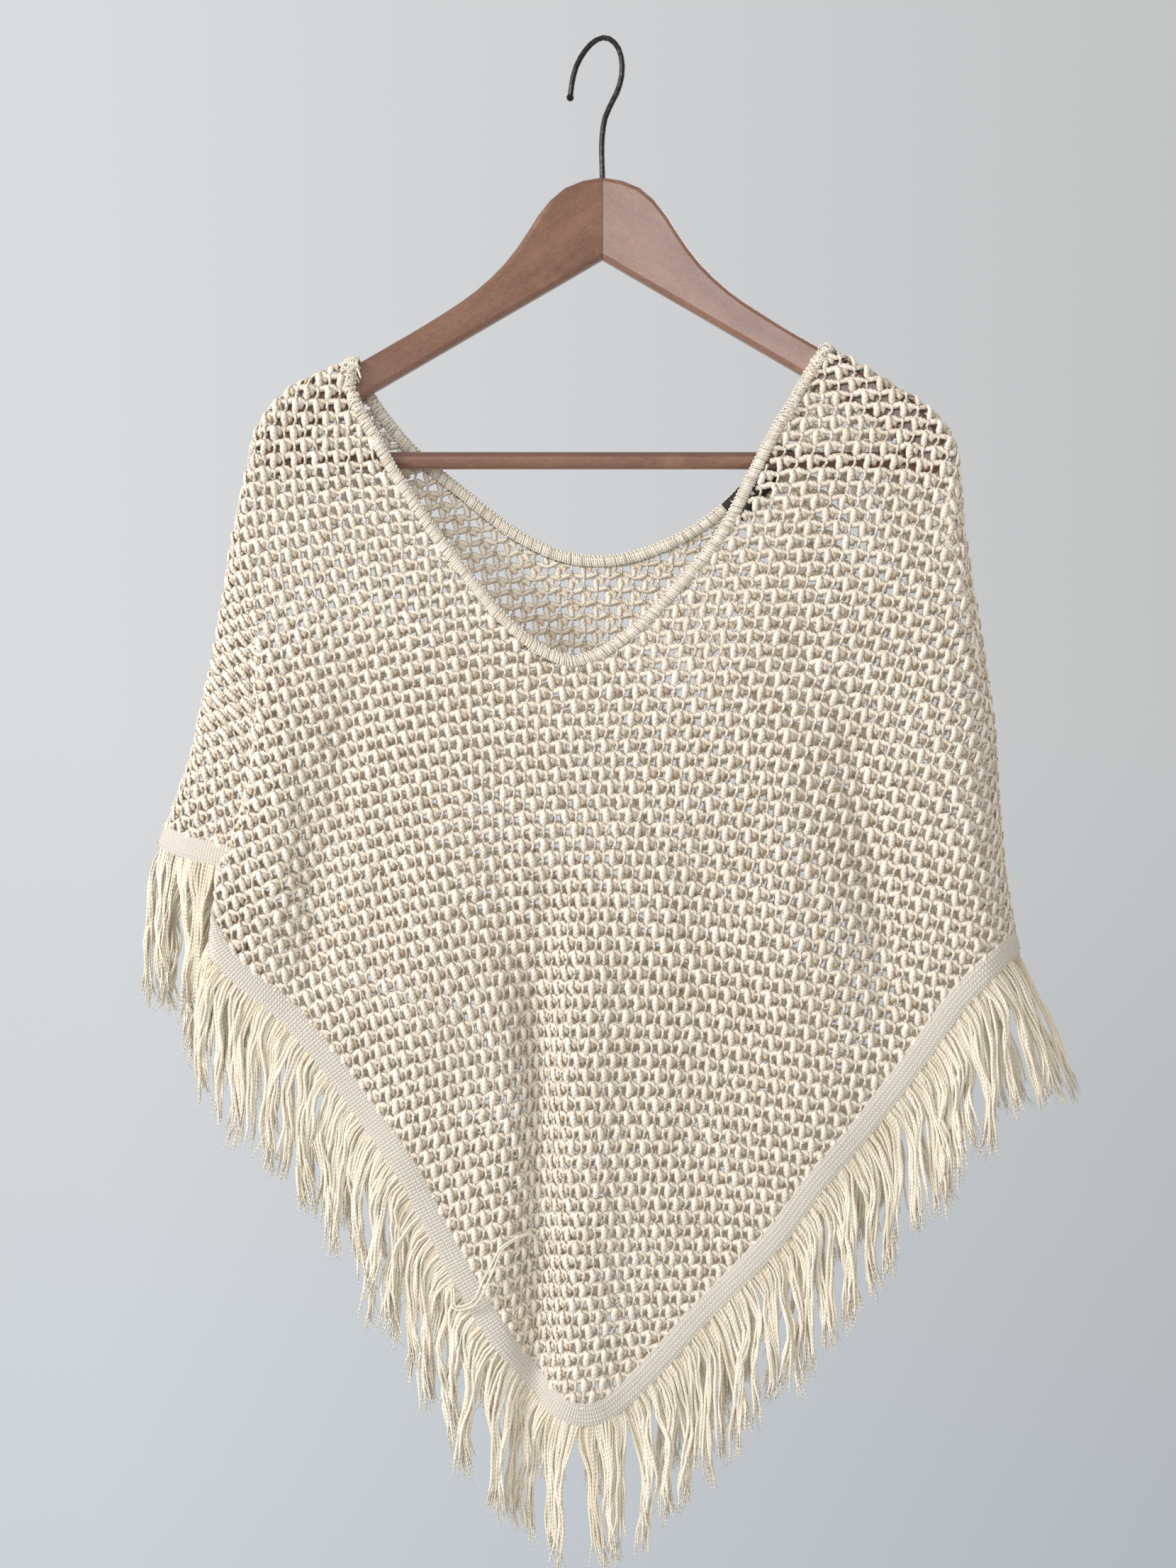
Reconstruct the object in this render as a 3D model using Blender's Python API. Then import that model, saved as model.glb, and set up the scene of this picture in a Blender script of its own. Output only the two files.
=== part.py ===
"""Openwork cotton poncho with a V neck, a taped hem and a fringe, hung on a wooden hanger.

The origin is the inner top of the hanger's hook. +X runs to the right of someone who faces the poncho,
+Y runs from the front to the back, and +Z is up. Sizes are in millimetres, and the meshes are in metres.
"""

import math
import random

import bmesh
import bpy
import numpy as np

MM = 0.001

# Hanger
ARM_THICK = 12.0
ARM_SWEEP = math.tan(math.radians(9.0))  # each arm leans forward as it runs outwards
ARM_ROUNDING = 3.0
ARM_JOINT_GAP = 0.3
ARM_TOP_EDGE = (  # distance from the middle, height: along the top edge and round the tip
    (0.15, -88.5),
    (20.0, -93.6),
    (36.0, -107.1),
    (48.0, -125.4),
    (60.0, -142.7),
    (78.0, -161.1),
    (111.0, -184.6),
    (137.3, -200.8),
    (155.8, -212.0),
    (181.0, -227.5),
    (194.0, -236.0),
    (205.0, -246.0),
    (213.0, -258.0),
    (216.0, -270.0),
    (212.0, -280.0),
    (204.0, -284.5),
    (196.0, -282.0),
    (191.0, -273.0),
    (187.0, -261.0),
)
ARM_TIP_HEIGHT = -262.0
ARM_LOWER_LINE = ((181.5, -251.5), (0.15, -141.0))
BAR_HEIGHT = -273.0
BAR_DEPTH = -31.0
BAR_RADIUS = 5.5
BAR_HALF = 187.5
TENON_RADIUS = 3.0
TENON_HALF = 198.0
RUNNING_GAP = 0.3
WIRE_RADIUS = 1.8
WIRE_BALL_RADIUS = 2.6
HOOK_YAW = math.radians(46.0)
HOOK_PATH = (  # along the hook's own plane, height
    (0.0, -103.0),
    (0.0, -88.0),
    (0.0, -60.0),
    (2.0, -51.0),
    (8.0, -42.0),
    (14.0, -34.5),
    (17.5, -26.0),
    (18.0, -18.0),
    (15.5, -9.0),
    (10.0, -2.6),
    (3.5, 1.1),
    (-1.5, 1.8),
    (-8.5, 0.4),
    (-17.0, -4.5),
    (-24.0, -12.0),
    (-28.0, -21.5),
    (-29.5, -29.0),
)

# Cloth
WALL = 3.0
BAND_WIDTH = 8.0
BAND_THICK = 3.6
TAPE_WIDTH = 15.5
TAPE_THICK = 4.0
SEAM_GAP = 0.3
ARM_CLEARANCE = 8.9  # from the arm's middle plane to the middle of the cloth that lies on it
LIES_ON_ARM = 15.0  # the cloth lies against the arm this far below its top edge
LEAVES_ARM_OVER = 45.0  # and hangs free after this much more
SIDE_SEAM_SHIFT = 18.0  # below the arm's tip, the right side seam comes this far round on the front
SIDE_SEAM_SHIFT_OVER = 60.0

# The poncho seen from the front: the middle of the cloth at its left and right edges, from the shoulder down.
LEFT_EDGE = (
    (-120.0, -186.5),
    (-140.0, -198.5),
    (-155.0, -207.8),
    (-165.0, -211.5),
    (-180.0, -218.5),
    (-192.0, -225.0),
    (-203.0, -233.5),
    (-212.0, -244.5),
    (-218.5, -258.0),
    (-223.0, -280.0),
    (-229.0, -303.0),
    (-235.0, -333.0),
    (-244.0, -381.0),
    (-257.0, -432.0),
    (-264.0, -460.0),
    (-274.0, -487.0),
    (-285.0, -515.0),
    (-291.0, -545.0),
    (-296.0, -620.0),
    (-300.0, -920.0),
)
RIGHT_EDGE = (
    (120.0, -186.0),
    (137.0, -196.5),
    (150.0, -204.5),
    (165.0, -213.8),
    (181.0, -224.0),
    (192.0, -231.0),
    (205.0, -240.5),
    (214.0, -249.5),
    (221.0, -262.0),
    (223.5, -278.0),
    (225.5, -302.0),
    (230.0, -336.0),
    (236.5, -371.0),
    (242.0, -405.0),
    (247.5, -440.0),
    (250.0, -477.0),
    (252.5, -505.0),
    (255.0, -532.0),
    (259.0, -556.0),
    (264.0, -580.0),
    (272.0, -620.0),
    (280.0, -920.0),
)
# How the plan section changes with height.
SECTION_COLUMNS = ("height", "front_y", "back_y", "left_y", "right_y", "left_round", "right_round")
SECTIONS = (
    (-190.0, -40.0, -20.0, -30.0, -30.0, 7.0, 7.0),
    (-262.0, -41.5, -20.0, -34.0, -34.0, 7.0, 7.0),
    (-300.0, -42.0, -16.0, -31.0, -31.0, 12.0, 11.0),
    (-340.0, -43.0, -11.0, -26.0, -26.0, 22.0, 16.0),
    (-420.0, -46.0, 2.0, -10.0, -17.0, 42.0, 24.0),
    (-500.0, -49.0, 14.0, 5.0, -9.0, 55.0, 30.0),
    (-600.0, -51.0, 22.0, 10.0, -5.0, 55.0, 32.0),
    (-750.0, -52.0, 26.0, 12.0, -4.0, 55.0, 32.0),
    (-920.0, -52.0, 26.0, 12.0, -4.0, 55.0, 32.0),
)
# The left side is folded in behind the front: a deep groove, whose depth grows from the shoulder down.
GROOVE_DEPTH = 50.0
GROOVE_PLACE = math.radians(45.0)
GROOVE_SPREAD = math.radians(22.0)
GROOVE_STARTS = -330.0
GROOVE_FULL = -480.0
# Soft troughs (depth above 0, into the hollow) and ridges (below 0): place at the top and at the foot.
FOLD_COLUMNS = ("top_x", "top_z", "foot_x", "foot_z", "spread", "depth")
FRONT_FOLDS = (
    (-34.0, -500.0, -44.0, -900.0, 15.0, 8.0),
    (-8.0, -530.0, -12.0, -900.0, 17.0, -6.0),
    (-150.0, -390.0, -192.0, -640.0, 18.0, 8.0),
    (-178.0, -330.0, -222.0, -600.0, 15.0, -3.0),
    (-100.0, -480.0, -128.0, -760.0, 22.0, -4.0),
    (148.0, -380.0, 190.0, -660.0, 20.0, 8.0),
    (118.0, -420.0, 132.0, -740.0, 20.0, -5.0),
    (62.0, -470.0, 66.0, -830.0, 18.0, 4.0),
    (205.0, -340.0, 232.0, -600.0, 15.0, -3.0),
)
BACK_FOLDS = (
    (22.0, -400.0, 34.0, -880.0, 20.0, 9.0),
    (-24.0, -430.0, -30.0, -880.0, 22.0, -6.0),
    (-132.0, -340.0, -168.0, -720.0, 22.0, 9.0),
    (-196.0, -380.0, -232.0, -640.0, 20.0, -5.0),
    (128.0, -330.0, 150.0, -740.0, 20.0, 8.0),
    (182.0, -360.0, 208.0, -640.0, 18.0, -5.0),
)
FOLD_FADE = 70.0

# Edges in the front plane, before the groove: across, height.
FRONT_NECK = (
    (-155.3, -208.0),
    (-157.0, -219.5),
    (-154.0, -231.0),
    (-142.0, -253.5),
    (-127.0, -280.5),
    (-111.0, -305.0),
    (-83.0, -343.0),
    (-54.5, -376.0),
    (-31.0, -393.0),
    (-20.7, -396.4),
    (-9.5, -394.0),
    (16.0, -378.6),
    (44.7, -350.0),
    (71.4, -317.7),
    (88.0, -286.5),
    (100.0, -263.0),
    (115.4, -236.3),
    (130.5, -211.5),
    (139.5, -198.0),
)
BACK_NECK = (
    (-155.3, -208.0),
    (-151.0, -218.0),
    (-144.6, -229.0),
    (-120.7, -260.0),
    (-84.0, -291.5),
    (-48.4, -317.8),
    (-19.5, -329.6),
    (9.4, -330.2),
    (38.3, -321.5),
    (67.2, -305.0),
    (92.5, -280.5),
    (110.0, -255.0),
    (124.0, -229.0),
    (134.0, -208.0),
    (139.5, -198.0),
)
FRONT_HEM = (  # the middle of the tape
    (-284.0, -509.5),
    (-281.0, -518.0),
    (-273.0, -528.0),
    (-262.0, -548.0),
    (-249.0, -570.0),
    (-230.0, -593.0),
    (-204.5, -614.0),
    (-175.3, -645.3),
    (-151.0, -678.0),
    (-125.5, -714.0),
    (-106.3, -750.0),
    (-86.8, -787.0),
    (-64.4, -823.0),
    (-44.0, -850.0),
    (-29.4, -864.5),
    (-15.8, -870.5),
    (-2.2, -868.5),
    (15.3, -856.3),
    (35.7, -835.5),
    (57.1, -811.6),
    (87.3, -781.4),
    (110.6, -756.0),
    (132.0, -726.5),
    (160.2, -693.5),
    (184.5, -662.8),
    (202.1, -639.0),
    (223.5, -609.8),
    (242.9, -590.0),
    (256.0, -580.5),
    (262.5, -578.0),
)
BACK_HEM = (
    (-284.0, -509.5),
    (-279.0, -517.0),
    (-262.0, -538.0),
    (-214.0, -590.0),
    (-150.0, -668.0),
    (-84.0, -756.0),
    (-34.0, -822.0),
    (-12.0, -842.0),
    (6.0, -846.0),
    (26.0, -834.0),
    (92.0, -756.0),
    (156.0, -676.0),
    (214.0, -612.0),
    (250.0, -584.0),
    (262.5, -578.0),
)

# Fringe
LOCK_PITCH = 8.6
SHORTEST_ROOT = 6.0  # a run of tape shorter than this carries no lock
LOCK_LENGTH = 92.0
LOCK_SHORTEST = 0.84  # share of the length
LOCK_SWAY = 1.6
LOCK_SWAY_KEPT = 0.75  # share of a lock's sway that the next one takes on
LOCK_LEAN = 14.0  # how far a lock runs square to the tape before it falls
LOCK_RINGS = (  # share of the length, width, depth
    (0.16, 4.6, 3.4),
    (0.46, 4.2, 3.0),
    (0.78, 3.2, 2.4),
)
FRINGE_SEED = 7
FLARE_FROM = 225.0  # across: from here to the right the locks lean outwards
FLARE_FULL = 265.0
FLARE_REACH = 34.0

LABEL_FROM = 75.0  # where the label starts along the right half of the back neck
LABEL_LENGTH = 52.0
LABEL_WIDTH = 17.0
LABEL_BELOW_EDGE = 0.5
LABEL_THICK = 0.9

LEVEL_TOP = -190.0
LEVEL_STEP = 2.5
LEVEL_COUNT = 293
QUARTER = 120  # points in each quarter of a section
NEAR_SEAM = 0.17  # share of a panel's width beside a seam where every hem station has its own column of faces
ROWS_DOWN = (0.0, 0.03, 0.06, 0.095, 0.135, 0.18, 0.24, 0.32, 0.43, 0.55, 0.67, 0.79, 0.9, 1.0)
RIGHT_END_STATIONS = (15.0, 9.5, 4.0, 0.0)  # from the right seam: closer, as they lead up to the hanger's tip


def ease(share):
    """0 below 0, 1 above 1, and a smooth step between."""
    share = np.clip(share, 0.0, 1.0)
    return share * share * (3.0 - 2.0 * share)


def smooth_line(table, step):
    """Points about a step apart on a smooth curve through a table's points."""
    points = np.array(table, float)
    chord = np.r_[0.0, np.cumsum(np.linalg.norm(np.diff(points, axis=0), axis=1))]
    slope = np.gradient(points, chord, axis=0)
    places = np.linspace(0.0, chord[-1], int(chord[-1] / step) + 2)
    index = np.clip(np.searchsorted(chord, places, side="right") - 1, 0, len(chord) - 2)
    length = (chord[index + 1] - chord[index])[:, None]
    t = (places - chord[index])[:, None] / length
    return (
        points[index] * (2 * t**3 - 3 * t**2 + 1)
        + points[index + 1] * (3 * t**2 - 2 * t**3)
        + slope[index] * length * (t**3 - 2 * t**2 + t)
        + slope[index + 1] * length * (t**3 - t**2)
    )


def distance_to(line, points):
    """The distance from each point to a line of short straight runs."""
    start, run = line[:-1], np.diff(line, axis=0)
    away = points[:, None, :] - start[None]
    share = np.clip((away * run).sum(2) / (run * run).sum(1), 0.0, 1.0)
    return np.linalg.norm(away - share[..., None] * run, axis=2).min(1)


def section_at(height):
    """The plan section's sizes at a height, by name."""
    rows = np.array(SECTIONS)[::-1]
    return {
        name: float(np.interp(height, rows[:, 0], rows[:, i]))
        for i, name in enumerate(SECTION_COLUMNS)
    }


def fold_depth(folds, across, height):
    """How far the folds push the cloth into the hollow."""
    total = np.zeros_like(across)
    for row in folds:
        fold = dict(zip(FOLD_COLUMNS, row))
        share = (height - fold["top_z"]) / (fold["foot_z"] - fold["top_z"])
        middle = fold["top_x"] + share * (fold["foot_x"] - fold["top_x"])
        fade = ease((fold["top_z"] - height) / FOLD_FADE) * ease((height - fold["foot_z"]) / FOLD_FADE)
        total += fold["depth"] * fade * np.exp(-(((across - middle) / fold["spread"]) ** 2))
    return total


def arm_share(across, height):
    """1 where the cloth lies on an arm of the hanger, and 0 where it hangs free."""
    edge = np.array([point for point in ARM_TOP_EDGE if point[1] > ARM_TIP_HEIGHT])
    top = np.interp(np.abs(across), edge[:, 0], edge[:, 1])
    return 1.0 - ease((top - height - LIES_ON_ARM) / LEAVES_ARM_OVER)


def quarter_section(height, side, face, edge):
    """One quarter of the section at a height, from the middle of the face out to the side.

    Its columns are x, y, and x before the groove.
    """
    section = section_at(height)
    rounding = section["left_round" if side < 0 else "right_round"]
    reach = np.interp(-height, -edge[:, 1], edge[:, 0])
    across = reach * np.sin(np.linspace(0.0, math.pi / 2, 3 * QUARTER))
    inside = distance_to(edge, np.stack([across, np.full_like(across, height)], axis=1))
    turn = 1.0 - np.clip(inside / rounding, 0.0, 1.0)
    full = np.sqrt(1.0 - turn * turn)
    on_arm = arm_share(across, height)
    arm_y = -ARM_SWEEP * np.abs(across)
    side_y = on_arm * arm_y + (1 - on_arm) * section["left_y" if side < 0 else "right_y"]
    face_y = on_arm * (arm_y + face * ARM_CLEARANCE)
    face_y += (1 - on_arm) * section["front_y" if face < 0 else "back_y"]
    face_y -= face * fold_depth(FRONT_FOLDS if face < 0 else BACK_FOLDS, across, height)
    y = side_y + (face_y - side_y) * full
    folded = across.copy()
    if side < 0 and face < 0:
        grown = float(ease((GROOVE_STARTS - height) / (GROOVE_STARTS - GROOVE_FULL)))
        angle = np.arcsin(turn)
        folded += GROOVE_DEPTH * grown * np.exp(-(((angle - GROOVE_PLACE) / GROOVE_SPREAD) ** 2))
    return even_by_run(np.stack([folded, y, across], axis=1))


def even_by_run(points):
    """A quarter section with points equally far apart along the cloth."""
    run = np.r_[0.0, np.cumsum(np.linalg.norm(np.diff(points[:, :2], axis=0), axis=1))]
    places = np.linspace(0.0, run[-1], QUARTER + 1)
    return np.stack([np.interp(places, run, points[:, i]) for i in range(3)], axis=1)


class Cloth:
    """The middle surface of the draped poncho.

    A place on it is (turn, height). The turn runs from 0 at the front's middle to 1 at the right side, 2 at
    the back's middle, 3 at the left side and 4 at the front's middle again, evenly along each quarter.
    """

    def __init__(self):
        left, right = smooth_line(LEFT_EDGE, 3.0), smooth_line(RIGHT_EDGE, 3.0)
        self.heights = LEVEL_TOP - LEVEL_STEP * np.arange(LEVEL_COUNT)
        self.points = np.zeros((LEVEL_COUNT, 4 * QUARTER + 1, 3))
        self.lengths = np.zeros((LEVEL_COUNT, 4))
        for level, height in enumerate(self.heights):
            quarters = (
                quarter_section(height, 1, -1, right),
                quarter_section(height, 1, 1, right)[::-1],
                quarter_section(height, -1, 1, left),
                quarter_section(height, -1, -1, left)[::-1],
            )
            for i, quarter in enumerate(quarters):
                self.points[level, i * QUARTER : (i + 1) * QUARTER + 1] = quarter
                self.lengths[level, i] = np.linalg.norm(np.diff(quarter[:, :2], axis=0), axis=1).sum()

    def at(self, turn, height):
        """Places as points in millimetres."""
        column = np.mod(turn, 4.0) * QUARTER
        row = np.clip((LEVEL_TOP - height) / LEVEL_STEP, 0.0, LEVEL_COUNT - 1.001)
        i, j = np.minimum(column.astype(int), 4 * QUARTER - 1), row.astype(int)
        a, b = (column - i)[..., None], (row - j)[..., None]
        upper = self.points[j, i] * (1 - a) + self.points[j, i + 1] * a
        lower = self.points[j + 1, i] * (1 - a) + self.points[j + 1, i + 1] * a
        plan = upper * (1 - b) + lower * b
        return np.stack([plan[..., 0], plan[..., 1], height + 0.0 * plan[..., 0]], axis=-1)

    def slopes(self, turn, height):
        """The change of the point with the turn and with the height."""
        d_turn, d_height = 0.006, 2.0
        along = (self.at(turn + d_turn, height) - self.at(turn - d_turn, height)) / (2 * d_turn)
        down = (self.at(turn, height + d_height) - self.at(turn, height - d_height)) / (2 * d_height)
        return along, down

    def quarter_length(self, turn, height):
        """The length of the cloth in the quarter that holds a place."""
        quarter = np.mod(np.floor(turn), 4).astype(int)
        row = np.clip((LEVEL_TOP - height) / LEVEL_STEP, 0.0, LEVEL_COUNT - 1.001).astype(int)
        return self.lengths[row, quarter]

    def turn_of(self, face, across, height):
        """The turn at a place given across the front plane, on the front (-1) or the back (1)."""
        row = int(np.clip(round((LEVEL_TOP - height) / LEVEL_STEP), 0, LEVEL_COUNT - 1))
        width = self.points[row, :, 2]
        if face > 0:
            turns = np.linspace(1.0, 3.0, 2 * QUARTER + 1)
            return float(np.interp(-across, -width[QUARTER : 3 * QUARTER + 1], turns))
        if across < 0:
            return float(np.interp(across, width[3 * QUARTER :], np.linspace(3.0, 4.0, QUARTER + 1)))
        return 4.0 + float(np.interp(across, width[: QUARTER + 1], np.linspace(0.0, 1.0, QUARTER + 1)))

    def line(self, face, table, step):
        """A table's line on one face, as places."""
        line = smooth_line(table, step)
        turns = [self.turn_of(face, across, height) for across, height in line]
        turns[0] = 3.0
        turns[-1] = 5.0 if face < 0 else 1.0
        return np.stack([turns, line[:, 1]], axis=1)

    def spread(self, places, count):
        """A line of places with this many points, equally far apart on the cloth."""
        points = self.at(places[:, 0], places[:, 1])
        run = np.r_[0.0, np.cumsum(np.linalg.norm(np.diff(points, axis=0), axis=1))]
        even = np.linspace(0.0, run[-1], count) if np.isscalar(count) else np.asarray(count) * run[-1]
        return np.stack([np.interp(even, run, places[:, i]) for i in range(2)], axis=1)

    def aside(self, places, distance, up):
        """The line moved sideways along the cloth, by a distance, to its upper (up > 0) or lower side."""
        turn, height = places[:, 0].copy(), places[:, 1].copy()
        points = self.at(turn, height)
        tangent = np.gradient(points, axis=0)
        along, down = self.slopes(turn, height)
        normal = np.cross(tangent, np.cross(along, down))
        normal /= np.linalg.norm(normal, axis=1, keepdims=True)
        flip = np.sign((normal * down).sum(1)) * up
        wanted = normal * flip[:, None]
        steps = max(1, int(math.ceil(abs(distance))))
        for _ in range(steps):
            along, down = self.slopes(turn, height)
            e, f, g = (along * along).sum(1), (along * down).sum(1), (down * down).sum(1)
            p, q = (along * wanted).sum(1), (down * wanted).sum(1)
            scale = distance / steps / (e * g - f * f)
            turn += scale * (g * p - f * q)
            height += scale * (e * q - f * p)
        return np.stack([turn, height], axis=1)

    def normals(self, turn, height):
        """Unit vectors out of the hollow."""
        along, down = self.slopes(turn, height)
        normal = np.cross(along, down)
        return normal / np.linalg.norm(normal, axis=-1, keepdims=True)


def clear_scene():
    for old in list(bpy.data.objects):
        bpy.data.objects.remove(old)


def material(name, colour, roughness, metallic=0.0):
    made = bpy.data.materials.new(name)
    made.use_nodes = True
    shader = made.node_tree.nodes["Principled BSDF"]
    shader.inputs["Base Color"].default_value = (*colour, 1.0)
    shader.inputs["Roughness"].default_value = roughness
    shader.inputs["Metallic"].default_value = metallic
    return made


def add_object(name, mesh, finish):
    """A mesh as a named object with its material, shaded smooth apart from sharp edges."""
    made = bpy.data.objects.new(name, mesh)
    bpy.context.scene.collection.objects.link(made)
    mesh.materials.append(finish)
    mesh.shade_smooth()
    mesh.set_sharp_from_angle(angle=math.radians(40))
    return made


def add_wall(name, cloth, rows, thickness, finish, away=0.0):
    """A closed cloth wall over rows of places.

    Each row is (stations, places), and a row's stations are among those of the row below it, or the same.
    The wall is centred on the middle surface, or lies away from it: into the hollow where that is below 0.
    """
    mesh = bmesh.new()
    skins = []
    for side in (1, -1):
        skin = []
        for stations, places in rows:
            turn, height = places[:, 0], places[:, 1]
            points = cloth.at(turn, height) + cloth.normals(turn, height) * (away + side * thickness / 2)
            skin.append(dict(zip(stations, [mesh.verts.new(p) for p in points * MM])))
        skins.append(skin)
        for upper, lower in zip(skin, skin[1:]):
            for a, b in zip(list(upper), list(upper)[1:]):
                between = [lower[k] for k in lower if a <= k <= b]
                mesh.faces.new([upper[b], upper[a], *between])
    outer, inner = skins
    for first, second in ((outer[0], inner[0]), (outer[-1], inner[-1])):
        for a, b in zip(list(first), list(first)[1:]):
            mesh.faces.new((first[a], first[b], second[b], second[a]))
    for end in (0, -1):
        for r in range(len(rows) - 1):
            corners = [(skin[r], skin[r + 1]) for skin in skins]
            a, b, c, d = (list(row.values())[end] for pair in corners for row in pair)
            mesh.faces.new((a, b, d, c))
    bmesh.ops.recalc_face_normals(mesh, faces=mesh.faces)
    made = bpy.data.meshes.new(name)
    mesh.to_mesh(made)
    mesh.free()
    return add_object(name, made, finish)


def right_seam_shift(height):
    """How far the right seam lies round on the front at a height: none on the shoulder."""
    return SIDE_SEAM_SHIFT * ease((ARM_TIP_HEIGHT - height) / SIDE_SEAM_SHIFT_OVER)


def panel_turns(cloth, face, height):
    """The turns at a panel's two seams at a height, left edge first."""
    half = SEAM_GAP / 2
    if face < 0:
        left = 3.0 + half / cloth.quarter_length(3.5, height)
        return left, 5.0 - (right_seam_shift(height) + half) / cloth.quarter_length(0.5, height)
    shift = right_seam_shift(height)
    front = cloth.quarter_length(0.5, height)
    back = cloth.quarter_length(1.5, height)
    right = np.where(shift > half, 1.0 - (shift - half) / front, 1.0 + (half - shift) / back)
    return 3.0 - half / cloth.quarter_length(2.5, height), right


def share_across(cloth, face, places):
    """Where places lie between a panel's left and right seams, from 0 to 1."""
    left, right = panel_turns(cloth, face, places[:, 1])
    return (places[:, 0] - left) / (right - left)


def kept_inside(cloth, face, places):
    """A line of places held within its panel's seams."""
    left, right = panel_turns(cloth, face, places[:, 1])
    share = np.clip(share_across(cloth, face, places), 0.0, 1.0)
    share[0], share[-1] = 0.0, 1.0
    return np.stack([left + (right - left) * share, places[:, 1]], axis=1)


class Face:
    """One half of the poncho, front (-1) or back (1): its lines, and the stations that its pieces share."""

    def __init__(self, cloth, face, hem):
        self.cloth, self.face = cloth, face
        self.neck = cloth.line(face, FRONT_NECK if face < 0 else BACK_NECK, 1.5)
        length = np.linalg.norm(np.diff(cloth.at(hem[:, 0], hem[:, 1]), axis=0), axis=1).sum()
        even = length - RIGHT_END_STATIONS[0]
        places = np.linspace(0.0, even, int(round(even / LOCK_PITCH)) + 1)
        self.hem = cloth.spread(hem, np.r_[places, length - np.array(RIGHT_END_STATIONS[1:])] / length)
        self.stations = list(range(len(self.hem)))
        self.panel_foot = self.beside_hem(TAPE_WIDTH / 2 + SEAM_GAP, 1)
        self.tape_top = self.beside_hem(TAPE_WIDTH / 2, 1)
        self.tape_foot = self.beside_hem(TAPE_WIDTH / 2, -1)
        share = share_across(cloth, face, self.panel_foot)
        near_seam = np.minimum(share, 1.0 - share) < NEAR_SEAM
        self.columns = [k for k in self.stations if k % 2 == 0 or near_seam[k]]
        self.shares = share[self.columns]
        below = cloth.aside(self.neck, BAND_WIDTH + SEAM_GAP, -1)
        place = np.interp(self.shares, share_across(cloth, face, below), np.arange(len(below)))
        self.neck_top, self.band_foot, self.panel_top = (
            kept_inside(cloth, face, self.at_place(line, place))
            for line in (self.neck, cloth.aside(self.neck, BAND_WIDTH, -1), below)
        )

    @staticmethod
    def at_place(line, place):
        """Points between the rows of a line."""
        index = np.arange(len(line))
        return np.stack([np.interp(place, index, line[:, i]) for i in range(2)], axis=1)

    def beside_hem(self, distance, up):
        return kept_inside(self.cloth, self.face, self.cloth.aside(self.hem, distance, up))

    def panel_rows(self):
        """The rows of a panel, from its neck band to its hem tape."""
        top, foot = self.panel_top[:, 1], self.panel_foot[self.columns, 1]
        rows = []
        for down in ROWS_DOWN[:-1]:
            height = top + (foot - top) * down
            left, right = panel_turns(self.cloth, self.face, height)
            rows.append((self.columns, np.stack([left + (right - left) * self.shares, height], axis=1)))
        return [*rows, (self.stations, self.panel_foot)]


def both_faces(cloth):
    """The front and the back, with the same heights where they meet at the seams."""
    front_hem, back_hem = cloth.line(-1, FRONT_HEM, 3.0), cloth.line(1, BACK_HEM, 3.0)
    share = share_across(cloth, -1, front_hem)
    past = share > 1.0
    seam = Face.at_place(front_hem, np.interp([1.0], share, np.arange(len(share))))
    round_side = np.vstack([seam, front_hem[past][:-1]]) - np.array([4.0, 0.0])
    faces = (
        Face(cloth, -1, np.vstack([front_hem[~past], seam])),
        Face(cloth, 1, np.vstack([back_hem, round_side[::-1]])),
    )
    for name in ("panel_foot", "tape_top", "tape_foot", "neck_top", "band_foot", "panel_top"):
        for end in (0, -1):
            height = np.mean([getattr(half, name)[end, 1] for half in faces])
            for half in faces:
                turns = panel_turns(cloth, half.face, np.array([height]))
                getattr(half, name)[end] = turns[end][0], height
    return faces


def lock_path(root, out, along, sway, length):
    """The middle of a lock of fringe: square to the tape at first, then straight down with a little sway.

    Near the right seam the locks stand out to the side.
    """
    flare = FLARE_REACH * ease((root[0] - FLARE_FROM) / (FLARE_FULL - FLARE_FROM))
    path = []
    for share, width, depth in (*LOCK_RINGS, (1.0, 0.0, 0.0)):
        run = share * length
        lean = LOCK_LEAN * (1.0 - math.exp(-run / LOCK_LEAN))
        drop = run - lean
        middle = root + out * lean + np.array([0.0, 0.0, -drop])
        middle = middle + along * sway * share * share + np.array([flare * share, 0.0, 0.0])
        path.append((middle, width, depth))
    return path


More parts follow.
